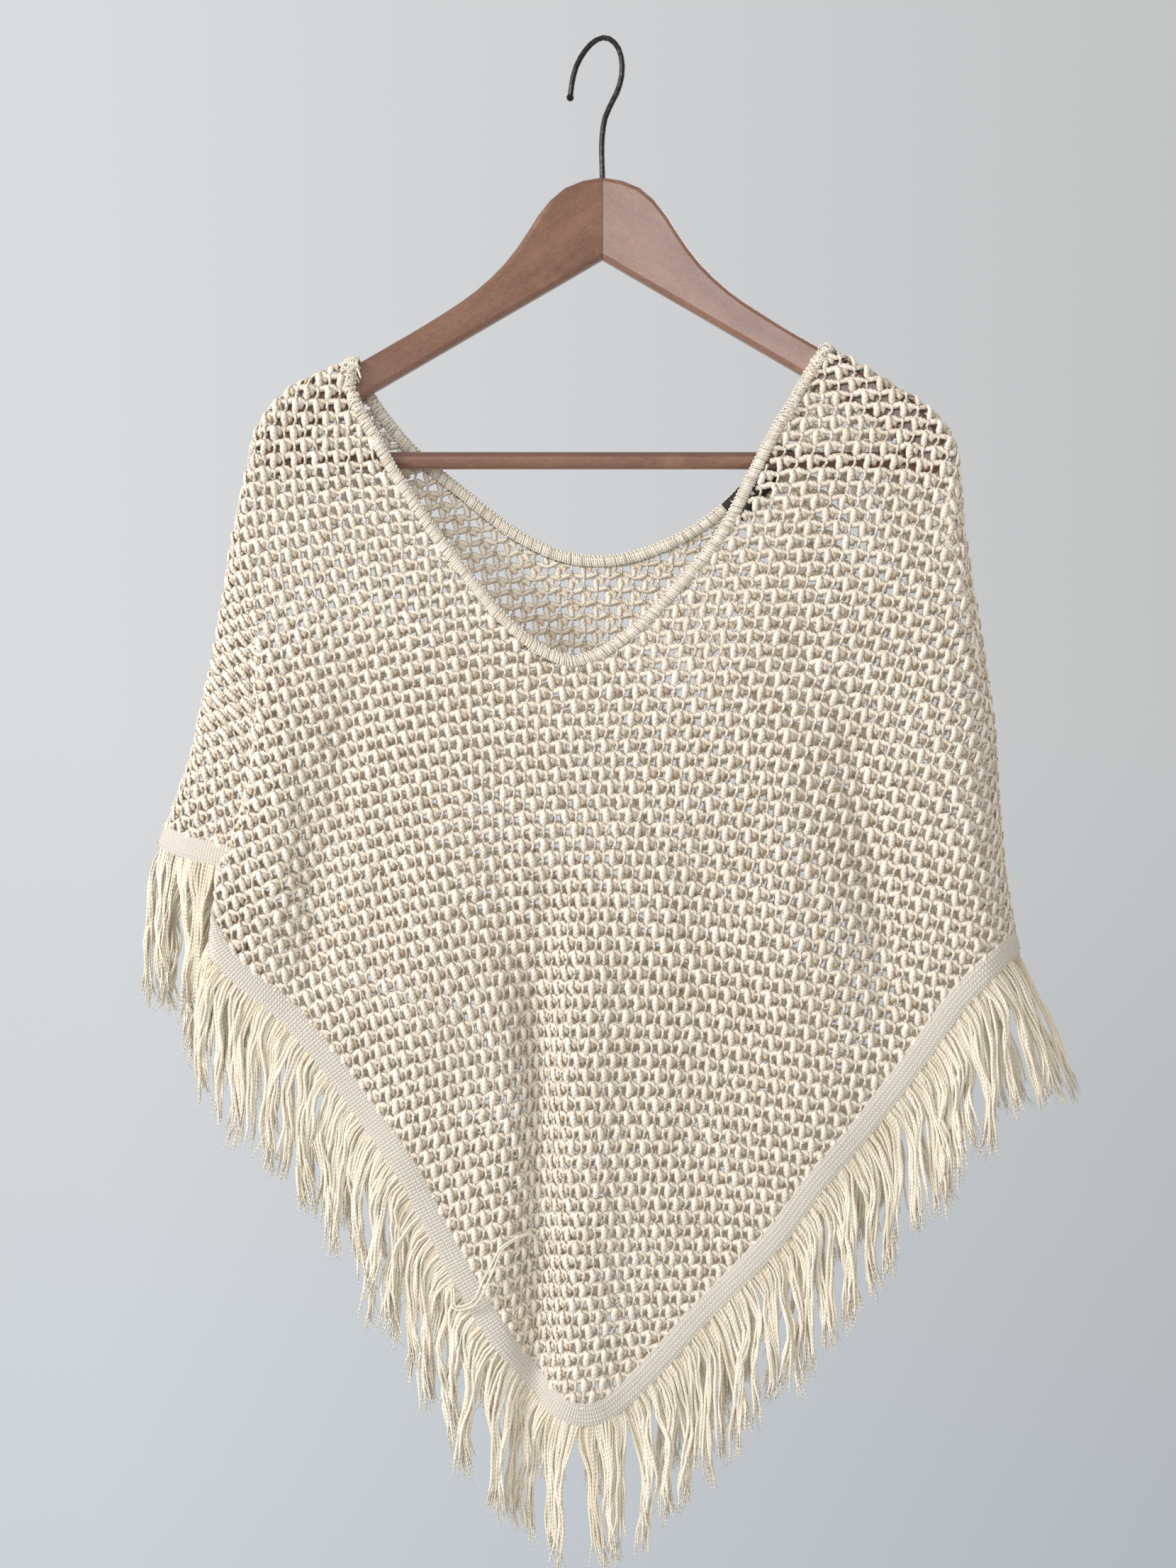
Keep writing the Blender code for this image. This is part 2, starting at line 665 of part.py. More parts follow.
def add_hem_fringe(name, half, finish):
    """The hem tape with the fringe's locks grown out of its lower edge."""
    cloth, stations = half.cloth, half.stations
    picker = random.Random(FRINGE_SEED + half.face)
    upper, lower = half.tape_top, half.tape_foot
    mesh = bmesh.new()
    rims = []
    for places in (upper, lower):
        points = cloth.at(places[:, 0], places[:, 1])
        normals = cloth.normals(places[:, 0], places[:, 1])
        for away in (TAPE_THICK / 2, -TAPE_THICK / 2):
            rims.append([mesh.verts.new(p) for p in (points + normals * away) * MM])
    upper_out, upper_in, lower_out, lower_in = rims
    tape_down = cloth.at(lower[:, 0], lower[:, 1]) - cloth.at(upper[:, 0], upper[:, 1])
    for a, b in ((upper_out, upper_in), (lower_out, upper_out), (upper_in, lower_in)):
        for k in range(len(stations) - 1):
            mesh.faces.new((a[k], a[k + 1], b[k + 1], b[k]))
    for k in (0, -1):
        mesh.faces.new((upper_out[k], upper_in[k], lower_in[k], lower_out[k]))
    sway = 0.0
    for k in range(len(stations) - 1):
        if k == 0 or (lower_out[k].co - lower_out[k + 1].co).length < SHORTEST_ROOT * MM:
            mesh.faces.new((lower_out[k], lower_out[k + 1], lower_in[k + 1], lower_in[k]))
            continue
        root = [lower_out[k], lower_out[k + 1], lower_in[k]]
        mesh.faces.new((lower_out[k + 1], lower_in[k + 1], lower_in[k]))
        corners = [np.array(v.co) / MM for v in root]
        along = corners[1] - corners[0]
        along[2] = 0.0
        along /= np.linalg.norm(along)
        inward = corners[2] - corners[0]
        inward[2] = 0.0
        inward /= np.linalg.norm(inward)
        out = tape_down[k] / np.linalg.norm(tape_down[k])
        sway = LOCK_SWAY_KEPT * sway + picker.uniform(-LOCK_SWAY, LOCK_SWAY)
        reach = LOCK_LENGTH * picker.uniform(LOCK_SHORTEST, 1.0)
        ring = root
        for middle, width, depth in lock_path(sum(corners) / 3, out, along, sway, reach):
            if not width:
                tip = mesh.verts.new(middle * MM)
                for i in range(3):
                    mesh.faces.new((ring[i], ring[(i + 1) % 3], tip))
                continue
            places = (
                middle - along * width / 2 - inward * depth / 3,
                middle + along * width / 2 - inward * depth / 3,
                middle + inward * depth * 2 / 3 - along * width / 4,
            )
            following = [mesh.verts.new(p * MM) for p in places]
            for i in range(3):
                mesh.faces.new((ring[i], ring[(i + 1) % 3], following[(i + 1) % 3], following[i]))
            ring = following
    bmesh.ops.recalc_face_normals(mesh, faces=mesh.faces)
    made = bpy.data.meshes.new(name)
    mesh.to_mesh(made)
    mesh.free()
    return add_object(name, made, finish)


def add_label(half, finish):
    """A plain woven label on the inside of the back neck band, to the right."""
    cloth, neck = half.cloth, half.neck
    points = cloth.at(neck[:, 0], neck[:, 1])
    run = np.r_[0.0, np.cumsum(np.linalg.norm(np.diff(points, axis=0), axis=1))]
    right = points[:, 2] > points[:, 2].min() - 1.0
    right &= np.arange(len(points)) >= int(points[:, 2].argmin())
    start = np.interp(LABEL_FROM, points[right, 0], run[right])
    edge = cloth.spread(neck, (start + np.linspace(0.0, LABEL_LENGTH, 8)) / run[-1])
    away = -(BAND_THICK / 2 + SEAM_GAP + LABEL_THICK / 2)
    stations = list(range(len(edge)))
    widths = (LABEL_BELOW_EDGE, LABEL_WIDTH / 2, LABEL_WIDTH)
    rows = [(stations, cloth.aside(edge, width, -1)) for width in widths]
    return add_wall("neck_label", cloth, rows, LABEL_THICK, finish, away)


def cutter(name, mesh):
    """A hidden helper that cuts a hole."""
    made = bpy.data.objects.new(name, mesh)
    bpy.context.scene.collection.objects.link(made)
    made.hide_render = True
    made.display_type = "WIRE"
    return made


def cylinder_mesh(name, start, end, radius, sides):
    """A closed cylinder between two points in millimetres."""
    return tube_mesh(name, [np.array(start, float), np.array(end, float)], [radius, radius], sides)


def tube_mesh(name, path, radii, sides):
    """A closed round tube along a path in millimetres, with a radius at each point."""
    path = np.array(path, float)
    tangents = np.gradient(path, axis=0)
    tangents /= np.linalg.norm(tangents, axis=1, keepdims=True)
    aside = np.cross(tangents[0], (0.0, 0.0, 1.0))
    if np.linalg.norm(aside) < 0.1:
        aside = np.array([-math.sin(HOOK_YAW), -math.cos(HOOK_YAW), 0.0])
    mesh = bmesh.new()
    rings = []
    for point, tangent, radius in zip(path, tangents, radii):
        aside = aside - tangent * (aside @ tangent)
        aside /= np.linalg.norm(aside)
        other = np.cross(tangent, aside)
        turns = [2 * math.pi * i / sides for i in range(sides)]
        rings.append(
            [
                mesh.verts.new((point + radius * (math.cos(t) * aside + math.sin(t) * other)) * MM)
                for t in turns
            ]
        )
    for ring, following in zip(rings, rings[1:]):
        for i in range(sides):
            j = (i + 1) % sides
            mesh.faces.new((ring[i], ring[j], following[j], following[i]))
    mesh.faces.new(rings[0])
    mesh.faces.new(rings[-1])
    bmesh.ops.recalc_face_normals(mesh, faces=mesh.faces)
    made = bpy.data.meshes.new(name)
    mesh.to_mesh(made)
    mesh.free()
    return made


def arm_outline(side):
    """The arm's outline in the front plane: its top edge and tip smoothed, and its straight lower edge."""
    top = smooth_line(ARM_TOP_EDGE, 13.0)
    line = np.vstack([top, np.array(ARM_LOWER_LINE)])
    line[:, 0] *= side
    return line


def add_arm(name, side, cutters, finish):
    """One wooden half of the hanger, swept forward and rounded along its long edges."""
    mesh = bmesh.new()
    outline = arm_outline(side)
    rims = []
    for depth in (-ARM_THICK / 2, ARM_THICK / 2):
        rims.append(
            [mesh.verts.new(np.array([x, depth - ARM_SWEEP * abs(x), z]) * MM) for x, z in outline]
        )
    mesh.faces.new(rims[0])
    mesh.faces.new(rims[1])
    count = len(outline)
    for i in range(count):
        j = (i + 1) % count
        mesh.faces.new((rims[0][i], rims[0][j], rims[1][j], rims[1][i]))
    bmesh.ops.recalc_face_normals(mesh, faces=mesh.faces)
    joint = 1.0 * MM
    rounded = [
        edge
        for edge in mesh.edges
        if all(v in rims[0] for v in edge.verts) or all(v in rims[1] for v in edge.verts)
    ]
    rounded = [edge for edge in rounded if any(abs(v.co.x) > joint for v in edge.verts)]
    bmesh.ops.bevel(
        mesh,
        geom=rounded,
        offset=ARM_ROUNDING * MM,
        segments=2,
        profile=0.5,
        affect="EDGES",
        clamp_overlap=True,
    )
    made_mesh = bpy.data.meshes.new(name)
    mesh.to_mesh(made_mesh)
    mesh.free()
    made = add_object(name, made_mesh, finish)
    for hole in cutters:
        cut = made.modifiers.new(hole.name, "BOOLEAN")
        cut.operation = "DIFFERENCE"
        cut.object = hole
    return made


def add_bar(finish):
    """The round bar between the arm tips, with a thin tenon at each end."""
    profile = (
        (-TENON_HALF, TENON_RADIUS),
        (-BAR_HALF, TENON_RADIUS),
        (-BAR_HALF, BAR_RADIUS),
        (BAR_HALF, BAR_RADIUS),
        (BAR_HALF, TENON_RADIUS),
        (TENON_HALF, TENON_RADIUS),
    )
    sides = 16
    axis = np.array([0.0, BAR_DEPTH, BAR_HEIGHT])
    mesh = bmesh.new()
    rings = []
    for x, radius in profile:
        turns = [2 * math.pi * i / sides for i in range(sides)]
        rings.append(
            [
                mesh.verts.new((np.array([x, radius * math.cos(t), radius * math.sin(t)]) + axis) * MM)
                for t in turns
            ]
        )
    for ring, following in zip(rings, rings[1:]):
        for i in range(sides):
            j = (i + 1) % sides
            mesh.faces.new((ring[i], ring[j], following[j], following[i]))
    mesh.faces.new(rings[0])
    mesh.faces.new(rings[-1])
    bmesh.ops.recalc_face_normals(mesh, faces=mesh.faces)
    made = bpy.data.meshes.new("hanger_bar")
    mesh.to_mesh(made)
    mesh.free()
    return add_object("hanger_bar", made, finish)


def add_hook(finish):
    """The wire hook, with a small ball on its end."""
    line = smooth_line(HOOK_PATH, 6.0)
    path = [np.array([h * math.cos(HOOK_YAW), -h * math.sin(HOOK_YAW), z]) for h, z in line]
    radii = [WIRE_RADIUS] * len(path)
    tangent = path[-1] - path[-2]
    tangent /= np.linalg.norm(tangent)
    for turn in (0.25, 0.5, 0.75, 0.95):
        angle = math.pi * turn
        path.append(path[len(line) - 1] + tangent * WIRE_BALL_RADIUS * (1.0 - math.cos(angle)))
        radii.append(WIRE_BALL_RADIUS * max(math.sin(angle), 0.1))
    return add_object("hanger_hook", tube_mesh("hanger_hook", path, radii, 8), finish)


def add_hanger(wood, wire):
    foot, top = (0, 0, HOOK_PATH[0][1] - 1.0), (0, 0, HOOK_PATH[1][1] + 8.0)
    hook_hole = cutter("cut_hook", cylinder_mesh("cut_hook", foot, top, WIRE_RADIUS + RUNNING_GAP, 12))
    for side, name in ((-1, "hanger_arm_left"), (1, "hanger_arm_right")):
        bar_hole = cutter(
            f"cut_{name}",
            cylinder_mesh(
                f"cut_{name}",
                (side * (BAR_HALF - 30.0), BAR_DEPTH, BAR_HEIGHT),
                (side * (TENON_HALF + 0.5), BAR_DEPTH, BAR_HEIGHT),
                TENON_RADIUS + RUNNING_GAP,
                16,
            ),
        )
        add_arm(name, side, (hook_hole, bar_hole), wood)
    add_bar(wood)
    add_hook(wire)


def add_poncho(knit, edging, black):
    cloth = Cloth()
    front, back = both_faces(cloth)
    for half, word in ((front, "front"), (back, "back")):
        add_wall(f"{word}_panel", cloth, half.panel_rows(), WALL, knit)
        band = [(half.columns, row) for row in (half.neck_top, half.band_foot)]
        add_wall(f"neck_band_{word}", cloth, band, BAND_THICK, edging)
        add_hem_fringe(f"hem_fringe_{word}", half, edging)
    add_label(back, black)


def main():
    clear_scene()
    add_hanger(
        material("hanger_wood", (0.20, 0.075, 0.035), 0.45),
        material("hook_wire", (0.01, 0.01, 0.012), 0.35, 0.8),
    )
    add_poncho(
        material("cotton_knit", (0.72, 0.64, 0.50), 0.9),
        material("cotton_edging", (0.76, 0.68, 0.53), 0.9),
        material("label_black", (0.012, 0.012, 0.014), 0.7),
    )


main()
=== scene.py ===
"""Looks of the openwork poncho on its wooden hanger: yarn, edging, fringe, label, wood and wire.

Sizes are in millimetres unless a name ends in _m, and the meshes are in metres. A place on the cloth is
(turn, height). The turn runs from 0 at the front's middle to 1 at the right side, 2 at the back's middle,
3 at the left side and 4 at the front's middle again, evenly along each quarter of the section.
"""

import math
import random

import bmesh
import bpy
import numpy as np
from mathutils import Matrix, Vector


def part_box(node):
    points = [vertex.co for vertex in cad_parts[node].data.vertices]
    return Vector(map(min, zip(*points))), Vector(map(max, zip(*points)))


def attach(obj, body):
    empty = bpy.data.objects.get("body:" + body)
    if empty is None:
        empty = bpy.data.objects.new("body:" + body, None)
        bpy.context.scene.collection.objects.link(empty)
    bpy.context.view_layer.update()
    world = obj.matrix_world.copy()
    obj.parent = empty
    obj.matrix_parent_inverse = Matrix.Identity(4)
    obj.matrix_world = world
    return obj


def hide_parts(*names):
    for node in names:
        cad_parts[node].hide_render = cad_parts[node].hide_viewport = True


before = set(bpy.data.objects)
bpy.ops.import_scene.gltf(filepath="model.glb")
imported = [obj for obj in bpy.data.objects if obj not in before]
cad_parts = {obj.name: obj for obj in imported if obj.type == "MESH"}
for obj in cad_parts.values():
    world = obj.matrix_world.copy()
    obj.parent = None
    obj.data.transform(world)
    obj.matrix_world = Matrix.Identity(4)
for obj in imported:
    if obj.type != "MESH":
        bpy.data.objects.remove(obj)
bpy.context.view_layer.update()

MM = 0.001

# ---------------------------------------------------------------- sizes shared with the solids

ARM_SWEEP = math.tan(math.radians(9.0))
ARM_TIP_HEIGHT = -262.0
ARM_TOP_EDGE = (  # distance from the middle, height
    (0.15, -88.5), (20, -93.6), (36, -107.1), (48, -125.4), (60, -142.7), (78, -161.1), (111, -184.6),
    (137.3, -200.8), (155.8, -212), (181, -227.5), (194, -236), (205, -246), (213, -258),
)
BAND_WIDTH = 8.0
BAND_THICK = 3.6
TAPE_WIDTH = 15.5
TAPE_THICK = 4.0
SEAM_GAP = 0.3
ARM_CLEARANCE = 8.9
LIES_ON_ARM = 15.0
LEAVES_ARM_OVER = 45.0
SIDE_SEAM_SHIFT = 18.0
SIDE_SEAM_SHIFT_OVER = 60.0
LEFT_EDGE = (
    (-120, -186.5), (-140, -198.5), (-155, -207.8), (-165, -211.5), (-180, -218.5), (-192, -225),
    (-203, -233.5), (-212, -244.5), (-218.5, -258), (-223, -280), (-229, -303), (-235, -333),
    (-244, -381), (-257, -432), (-264, -460), (-274, -487), (-285, -515), (-291, -545),
    (-296, -620), (-300, -920),
)
RIGHT_EDGE = (
    (120, -186), (137, -196.5), (150, -204.5), (165, -213.8), (181, -224), (192, -231), (205, -240.5),
    (214, -249.5), (221, -262), (223.5, -278), (225.5, -302), (230, -336), (236.5, -371), (242, -405),
    (247.5, -440), (250, -477), (252.5, -505), (255, -532), (259, -556), (264, -580), (272, -620),
    (280, -920),
)
SECTION_COLUMNS = ("height", "front_y", "back_y", "left_y", "right_y", "left_round", "right_round")
SECTIONS = (
    (-190, -40, -20, -30, -30, 7, 7), (-262, -41.5, -20, -34, -34, 7, 7),
    (-300, -42, -16, -31, -31, 12, 11), (-340, -43, -11, -26, -26, 22, 16),
    (-420, -46, 2, -10, -17, 42, 24), (-500, -49, 14, 5, -9, 55, 30),
    (-600, -51, 22, 10, -5, 55, 32), (-750, -52, 26, 12, -4, 55, 32),
    (-920, -52, 26, 12, -4, 55, 32),
)
GROOVE_DEPTH = 50.0
GROOVE_PLACE = math.radians(45.0)
GROOVE_SPREAD = math.radians(22.0)
GROOVE_STARTS = -330.0
GROOVE_FULL = -480.0
FOLD_COLUMNS = ("top_x", "top_z", "foot_x", "foot_z", "spread", "depth")
FRONT_FOLDS = (
    (-34, -500, -44, -900, 15, 8), (-8, -530, -12, -900, 17, -6),
    (-150, -390, -192, -640, 18, 8), (-178, -330, -222, -600, 15, -3),
    (-100, -480, -128, -760, 22, -4), (148, -380, 190, -660, 20, 8),
    (118, -420, 132, -740, 20, -5), (62, -470, 66, -830, 18, 4),
    (205, -340, 232, -600, 15, -3),
)
FRONT_CREASES = (  # finer than the solids' folds
    (-74, -470, -38, -720, 10, 4), (-45, -560, -42, -900, 11, 6),
    (-24, -560, -22, -880, 9, -2.4), (-197, -350, -183, -620, 8, 2.6),
    (-128, -430, -150, -640, 9, 2), (126, -330, 132, -700, 9, 2.4),
    (168, -480, 176, -680, 10, 2.2), (84, -520, 92, -780, 9, 1.6),
)
BACK_FOLDS = (
    (22, -400, 34, -880, 20, 9), (-24, -430, -30, -880, 22, -6),
    (-132, -340, -168, -720, 22, 9), (-196, -380, -232, -640, 20, -5),
    (128, -330, 150, -740, 20, 8), (182, -360, 208, -640, 18, -5),
)
FOLD_FADE = 70.0
FRONT_NECK = (
    (-155.3, -208), (-157, -219.5), (-154, -231), (-142, -253.5), (-127, -280.5), (-111, -305),
    (-83, -343), (-54.5, -376), (-31, -393), (-20.7, -396.4), (-9.5, -394), (16, -378.6), (44.7, -350),
    (71.4, -317.7), (88, -286.5), (100, -263), (115.4, -236.3), (130.5, -211.5), (139.5, -198),
)
BACK_NECK = (
    (-155.3, -208), (-151, -218), (-144.6, -229), (-120.7, -260), (-84, -291.5), (-48.4, -317.8),
    (-19.5, -329.6), (9.4, -330.2), (38.3, -321.5), (67.2, -305), (92.5, -280.5), (110, -255),
    (124, -229), (134, -208), (139.5, -198),
)
FRONT_HEM = (
    (-284, -509.5), (-281, -518), (-273, -528), (-262, -548), (-249, -570), (-230, -593),
    (-204.5, -614), (-175.3, -645.3), (-151, -678), (-125.5, -714), (-106.3, -750), (-86.8, -787),
    (-64.4, -823), (-44, -850), (-29.4, -864.5), (-15.8, -870.5), (-2.2, -868.5), (15.3, -856.3),
    (35.7, -835.5), (57.1, -811.6), (87.3, -781.4), (110.6, -756), (132, -726.5), (160.2, -693.5),
    (184.5, -662.8), (202.1, -639), (223.5, -609.8), (242.9, -590), (256, -580.5), (262.5, -578),
)
BACK_HEM = (
    (-284, -509.5), (-279, -517), (-262, -538), (-214, -590), (-150, -668), (-84, -756), (-34, -822),
    (-12, -842), (6, -846), (26, -834), (92, -756), (156, -676), (214, -612), (250, -584), (262.5, -578),
)
LOCK_PITCH = 8.6
SHORTEST_ROOT = 6.0
LOCK_LENGTH = 92.0
LOCK_SHORTEST = 0.84
LOCK_SWAY = 1.6
LOCK_SWAY_KEPT = 0.75
LOCK_LEAN = 14.0
FRINGE_SEED = 7
FLARE_FROM = 225.0
FLARE_FULL = 265.0
FLARE_REACH = 34.0
LABEL_FROM = 75.0
LABEL_LENGTH = 52.0
LABEL_WIDTH = 17.0
LABEL_BELOW_EDGE = 0.5
LABEL_THICK = 0.9
LEVEL_TOP = -190.0
LEVEL_STEP = 2.5
LEVEL_COUNT = 293
QUARTER = 120
RIGHT_END_STATIONS = (15.0, 9.5, 4.0, 0.0)

# ---------------------------------------------------------------- the draped cloth


def ease(share):
    """0 below 0, 1 above 1, and a smooth step between."""
    share = np.clip(share, 0.0, 1.0)
    return share * share * (3.0 - 2.0 * share)


def smooth_line(table, step):
    """Points about a step apart on a smooth curve through a table's points."""
    points = np.array(table, float)
    chord = np.r_[0.0, np.cumsum(np.linalg.norm(np.diff(points, axis=0), axis=1))]
    slope = np.gradient(points, chord, axis=0)
    places = np.linspace(0.0, chord[-1], int(chord[-1] / step) + 2)
    index = np.clip(np.searchsorted(chord, places, side="right") - 1, 0, len(chord) - 2)
    length = (chord[index + 1] - chord[index])[:, None]
    t = (places - chord[index])[:, None] / length
    return (
        points[index] * (2 * t**3 - 3 * t**2 + 1)
        + points[index + 1] * (3 * t**2 - 2 * t**3)
        + slope[index] * length * (t**3 - 2 * t**2 + t)
        + slope[index + 1] * length * (t**3 - t**2)
    )


def distance_to(line, points):
    """The distance from each point to a line of short straight runs."""
    start, run = line[:-1], np.diff(line, axis=0)
    away = points[:, None, :] - start[None]
    share = np.clip((away * run).sum(2) / (run * run).sum(1), 0.0, 1.0)
    return np.linalg.norm(away - share[..., None] * run, axis=2).min(1)


def section_at(height):
    """The plan section's sizes at a height, by name."""
    rows = np.array(SECTIONS)[::-1]
    return {
        name: float(np.interp(height, rows[:, 0], rows[:, i]))
        for i, name in enumerate(SECTION_COLUMNS)
    }


def fold_depth(folds, across, height):
    """How far the folds push the cloth into the hollow."""
    total = np.zeros_like(across)
    for row in folds:
        fold = dict(zip(FOLD_COLUMNS, row))
        share = (height - fold["top_z"]) / (fold["foot_z"] - fold["top_z"])
        middle = fold["top_x"] + share * (fold["foot_x"] - fold["top_x"])
        fade = ease((fold["top_z"] - height) / FOLD_FADE) * ease((height - fold["foot_z"]) / FOLD_FADE)
        total += fold["depth"] * fade * np.exp(-(((across - middle) / fold["spread"]) ** 2))
    return total


def arm_share(across, height):
    """1 where the cloth lies on an arm of the hanger, and 0 where it hangs free."""
    edge = np.array([point for point in ARM_TOP_EDGE if point[1] > ARM_TIP_HEIGHT])
    top = np.interp(np.abs(across), edge[:, 0], edge[:, 1])
    return 1.0 - ease((top - height - LIES_ON_ARM) / LEAVES_ARM_OVER)


def even_by_run(points):
    """A quarter section with points equally far apart along the cloth."""
    run = np.r_[0.0, np.cumsum(np.linalg.norm(np.diff(points[:, :2], axis=0), axis=1))]
    places = np.linspace(0.0, run[-1], QUARTER + 1)
    return np.stack([np.interp(places, run, points[:, i]) for i in range(3)], axis=1)


def quarter_section(height, side, face, edge):
    """One quarter of the section at a height: x, y, and x before the groove."""
    section = section_at(height)
    rounding = section["left_round" if side < 0 else "right_round"]
    reach = np.interp(-height, -edge[:, 1], edge[:, 0])
    across = reach * np.sin(np.linspace(0.0, math.pi / 2, 3 * QUARTER))
    inside = distance_to(edge, np.stack([across, np.full_like(across, height)], axis=1))
    turn = 1.0 - np.clip(inside / rounding, 0.0, 1.0)
    full = np.sqrt(1.0 - turn * turn)
    on_arm = arm_share(across, height)
    arm_y = -ARM_SWEEP * np.abs(across)
    side_y = on_arm * arm_y + (1 - on_arm) * section["left_y" if side < 0 else "right_y"]
    face_y = on_arm * (arm_y + face * ARM_CLEARANCE)
    face_y += (1 - on_arm) * section["front_y" if face < 0 else "back_y"]
    face_y -= face * fold_depth(FRONT_FOLDS + FRONT_CREASES if face < 0 else BACK_FOLDS, across, height)
    y = side_y + (face_y - side_y) * full
    folded = across.copy()
    if side < 0 and face < 0:
        grown = float(ease((GROOVE_STARTS - height) / (GROOVE_STARTS - GROOVE_FULL)))
        angle = np.arcsin(turn)
        folded += GROOVE_DEPTH * grown * np.exp(-(((angle - GROOVE_PLACE) / GROOVE_SPREAD) ** 2))
    return even_by_run(np.stack([folded, y, across], axis=1))


class Cloth:
    """The middle surface of the draped poncho, as the solids have it."""

    def __init__(self):
        left, right = smooth_line(LEFT_EDGE, 3.0), smooth_line(RIGHT_EDGE, 3.0)
        self.heights = LEVEL_TOP - LEVEL_STEP * np.arange(LEVEL_COUNT)
        self.points = np.zeros((LEVEL_COUNT, 4 * QUARTER + 1, 3))
        self.lengths = np.zeros((LEVEL_COUNT, 4))
        for level, height in enumerate(self.heights):
            quarters = (
                quarter_section(height, 1, -1, right),
                quarter_section(height, 1, 1, right)[::-1],
                quarter_section(height, -1, 1, left),
                quarter_section(height, -1, -1, left)[::-1],
            )
            for i, quarter in enumerate(quarters):
                self.points[level, i * QUARTER : (i + 1) * QUARTER + 1] = quarter
                self.lengths[level, i] = np.linalg.norm(np.diff(quarter[:, :2], axis=0), axis=1).sum()

    def at(self, turn, height):
        """Places as points in millimetres."""
        column = np.mod(turn, 4.0) * QUARTER
        row = np.clip((LEVEL_TOP - height) / LEVEL_STEP, 0.0, LEVEL_COUNT - 1.001)
        i, j = np.minimum(column.astype(int), 4 * QUARTER - 1), row.astype(int)
        a, b = (column - i)[..., None], (row - j)[..., None]
        upper = self.points[j, i] * (1 - a) + self.points[j, i + 1] * a
        lower = self.points[j + 1, i] * (1 - a) + self.points[j + 1, i + 1] * a
        plan = upper * (1 - b) + lower * b
        return np.stack([plan[..., 0], plan[..., 1], height + 0.0 * plan[..., 0]], axis=-1)

    def slopes(self, turn, height):
        """The change of the point with the turn and with the height."""
        d_turn, d_height = 0.006, 2.0
        along = (self.at(turn + d_turn, height) - self.at(turn - d_turn, height)) / (2 * d_turn)
        down = (self.at(turn, height + d_height) - self.at(turn, height - d_height)) / (2 * d_height)
        return along, down

    def quarter_length(self, turn, height):
        """The length of the cloth in the quarter that holds a place."""
        quarter = np.mod(np.floor(turn), 4).astype(int)
        row = np.clip((LEVEL_TOP - height) / LEVEL_STEP, 0.0, LEVEL_COUNT - 1.001).astype(int)
        return self.lengths[row, quarter]

    def turn_of(self, face, across, height):
        """The turn at a place given across the front plane, on the front (-1) or the back (1)."""
        row = int(np.clip(round((LEVEL_TOP - height) / LEVEL_STEP), 0, LEVEL_COUNT - 1))
        width = self.points[row, :, 2]
        if face > 0:
            turns = np.linspace(1.0, 3.0, 2 * QUARTER + 1)
            return float(np.interp(-across, -width[QUARTER : 3 * QUARTER + 1], turns))
        if across < 0:
            return float(np.interp(across, width[3 * QUARTER :], np.linspace(3.0, 4.0, QUARTER + 1)))
        return 4.0 + float(np.interp(across, width[: QUARTER + 1], np.linspace(0.0, 1.0, QUARTER + 1)))

    def line(self, face, table, step):
        """A table's line on one face, as places."""
        line = smooth_line(table, step)
        turns = [self.turn_of(face, across, height) for across, height in line]
        turns[0] = 3.0
        turns[-1] = 5.0 if face < 0 else 1.0
        return np.stack([turns, line[:, 1]], axis=1)

    def run_along(self, places):
        """The distance along the cloth from a line's first place to each."""
        points = self.at(places[:, 0], places[:, 1])
        return np.r_[0.0, np.cumsum(np.linalg.norm(np.diff(points, axis=0), axis=1))]

    def spread(self, places, count):
        """A line of places with this many points, equally far apart, or at these shares of the line."""
        run = self.run_along(places)
        even = np.linspace(0.0, run[-1], count) if np.isscalar(count) else np.asarray(count) * run[-1]
        return np.stack([np.interp(even, run, places[:, i]) for i in range(2)], axis=1)

    def aside(self, places, distance, up):
        """The line moved sideways along the cloth, by a distance, to its upper (up > 0) or lower side."""
        turn, height = places[:, 0].copy(), places[:, 1].copy()
        points = self.at(turn, height)
        tangent = np.gradient(points, axis=0)
        along, down = self.slopes(turn, height)
        normal = np.cross(tangent, np.cross(along, down))
        normal /= np.linalg.norm(normal, axis=1, keepdims=True)
        flip = np.sign((normal * down).sum(1)) * up
        wanted = normal * flip[:, None]
        steps = max(1, int(math.ceil(abs(distance))))
        for _ in range(steps):
            along, down = self.slopes(turn, height)
            e, f, g = (along * along).sum(1), (along * down).sum(1), (down * down).sum(1)
            p, q = (along * wanted).sum(1), (down * wanted).sum(1)
            scale = distance / steps / (e * g - f * f)
            turn += scale * (g * p - f * q)
            height += scale * (e * q - f * p)
        return np.stack([turn, height], axis=1)

    def normals(self, turn, height):
        """Unit vectors out of the hollow."""
        along, down = self.slopes(turn, height)
        normal = np.cross(along, down)
        return normal / np.linalg.norm(normal, axis=-1, keepdims=True)

    def off(self, places, out):
        """Points this far out of the cloth at places."""
        turn, height = places[..., 0], places[..., 1]
        return self.at(turn, height) + self.normals(turn, height) * np.asarray(out)[..., None]


def right_seam_shift(height):
    """How far the right seam lies round on the front at a height."""
    return SIDE_SEAM_SHIFT * ease((ARM_TIP_HEIGHT - height) / SIDE_SEAM_SHIFT_OVER)


def panel_turns(cloth, face, height):
    """The turns at a panel's two seams at a height, left edge first."""
    half = SEAM_GAP / 2
    if face < 0:
        left = 3.0 + half / cloth.quarter_length(3.5, height)
        return left, 5.0 - (right_seam_shift(height) + half) / cloth.quarter_length(0.5, height)
    shift = right_seam_shift(height)
    front = cloth.quarter_length(0.5, height)
    back = cloth.quarter_length(1.5, height)
    right = np.where(shift > half, 1.0 - (shift - half) / front, 1.0 + (half - shift) / back)
    return 3.0 - half / cloth.quarter_length(2.5, height), right


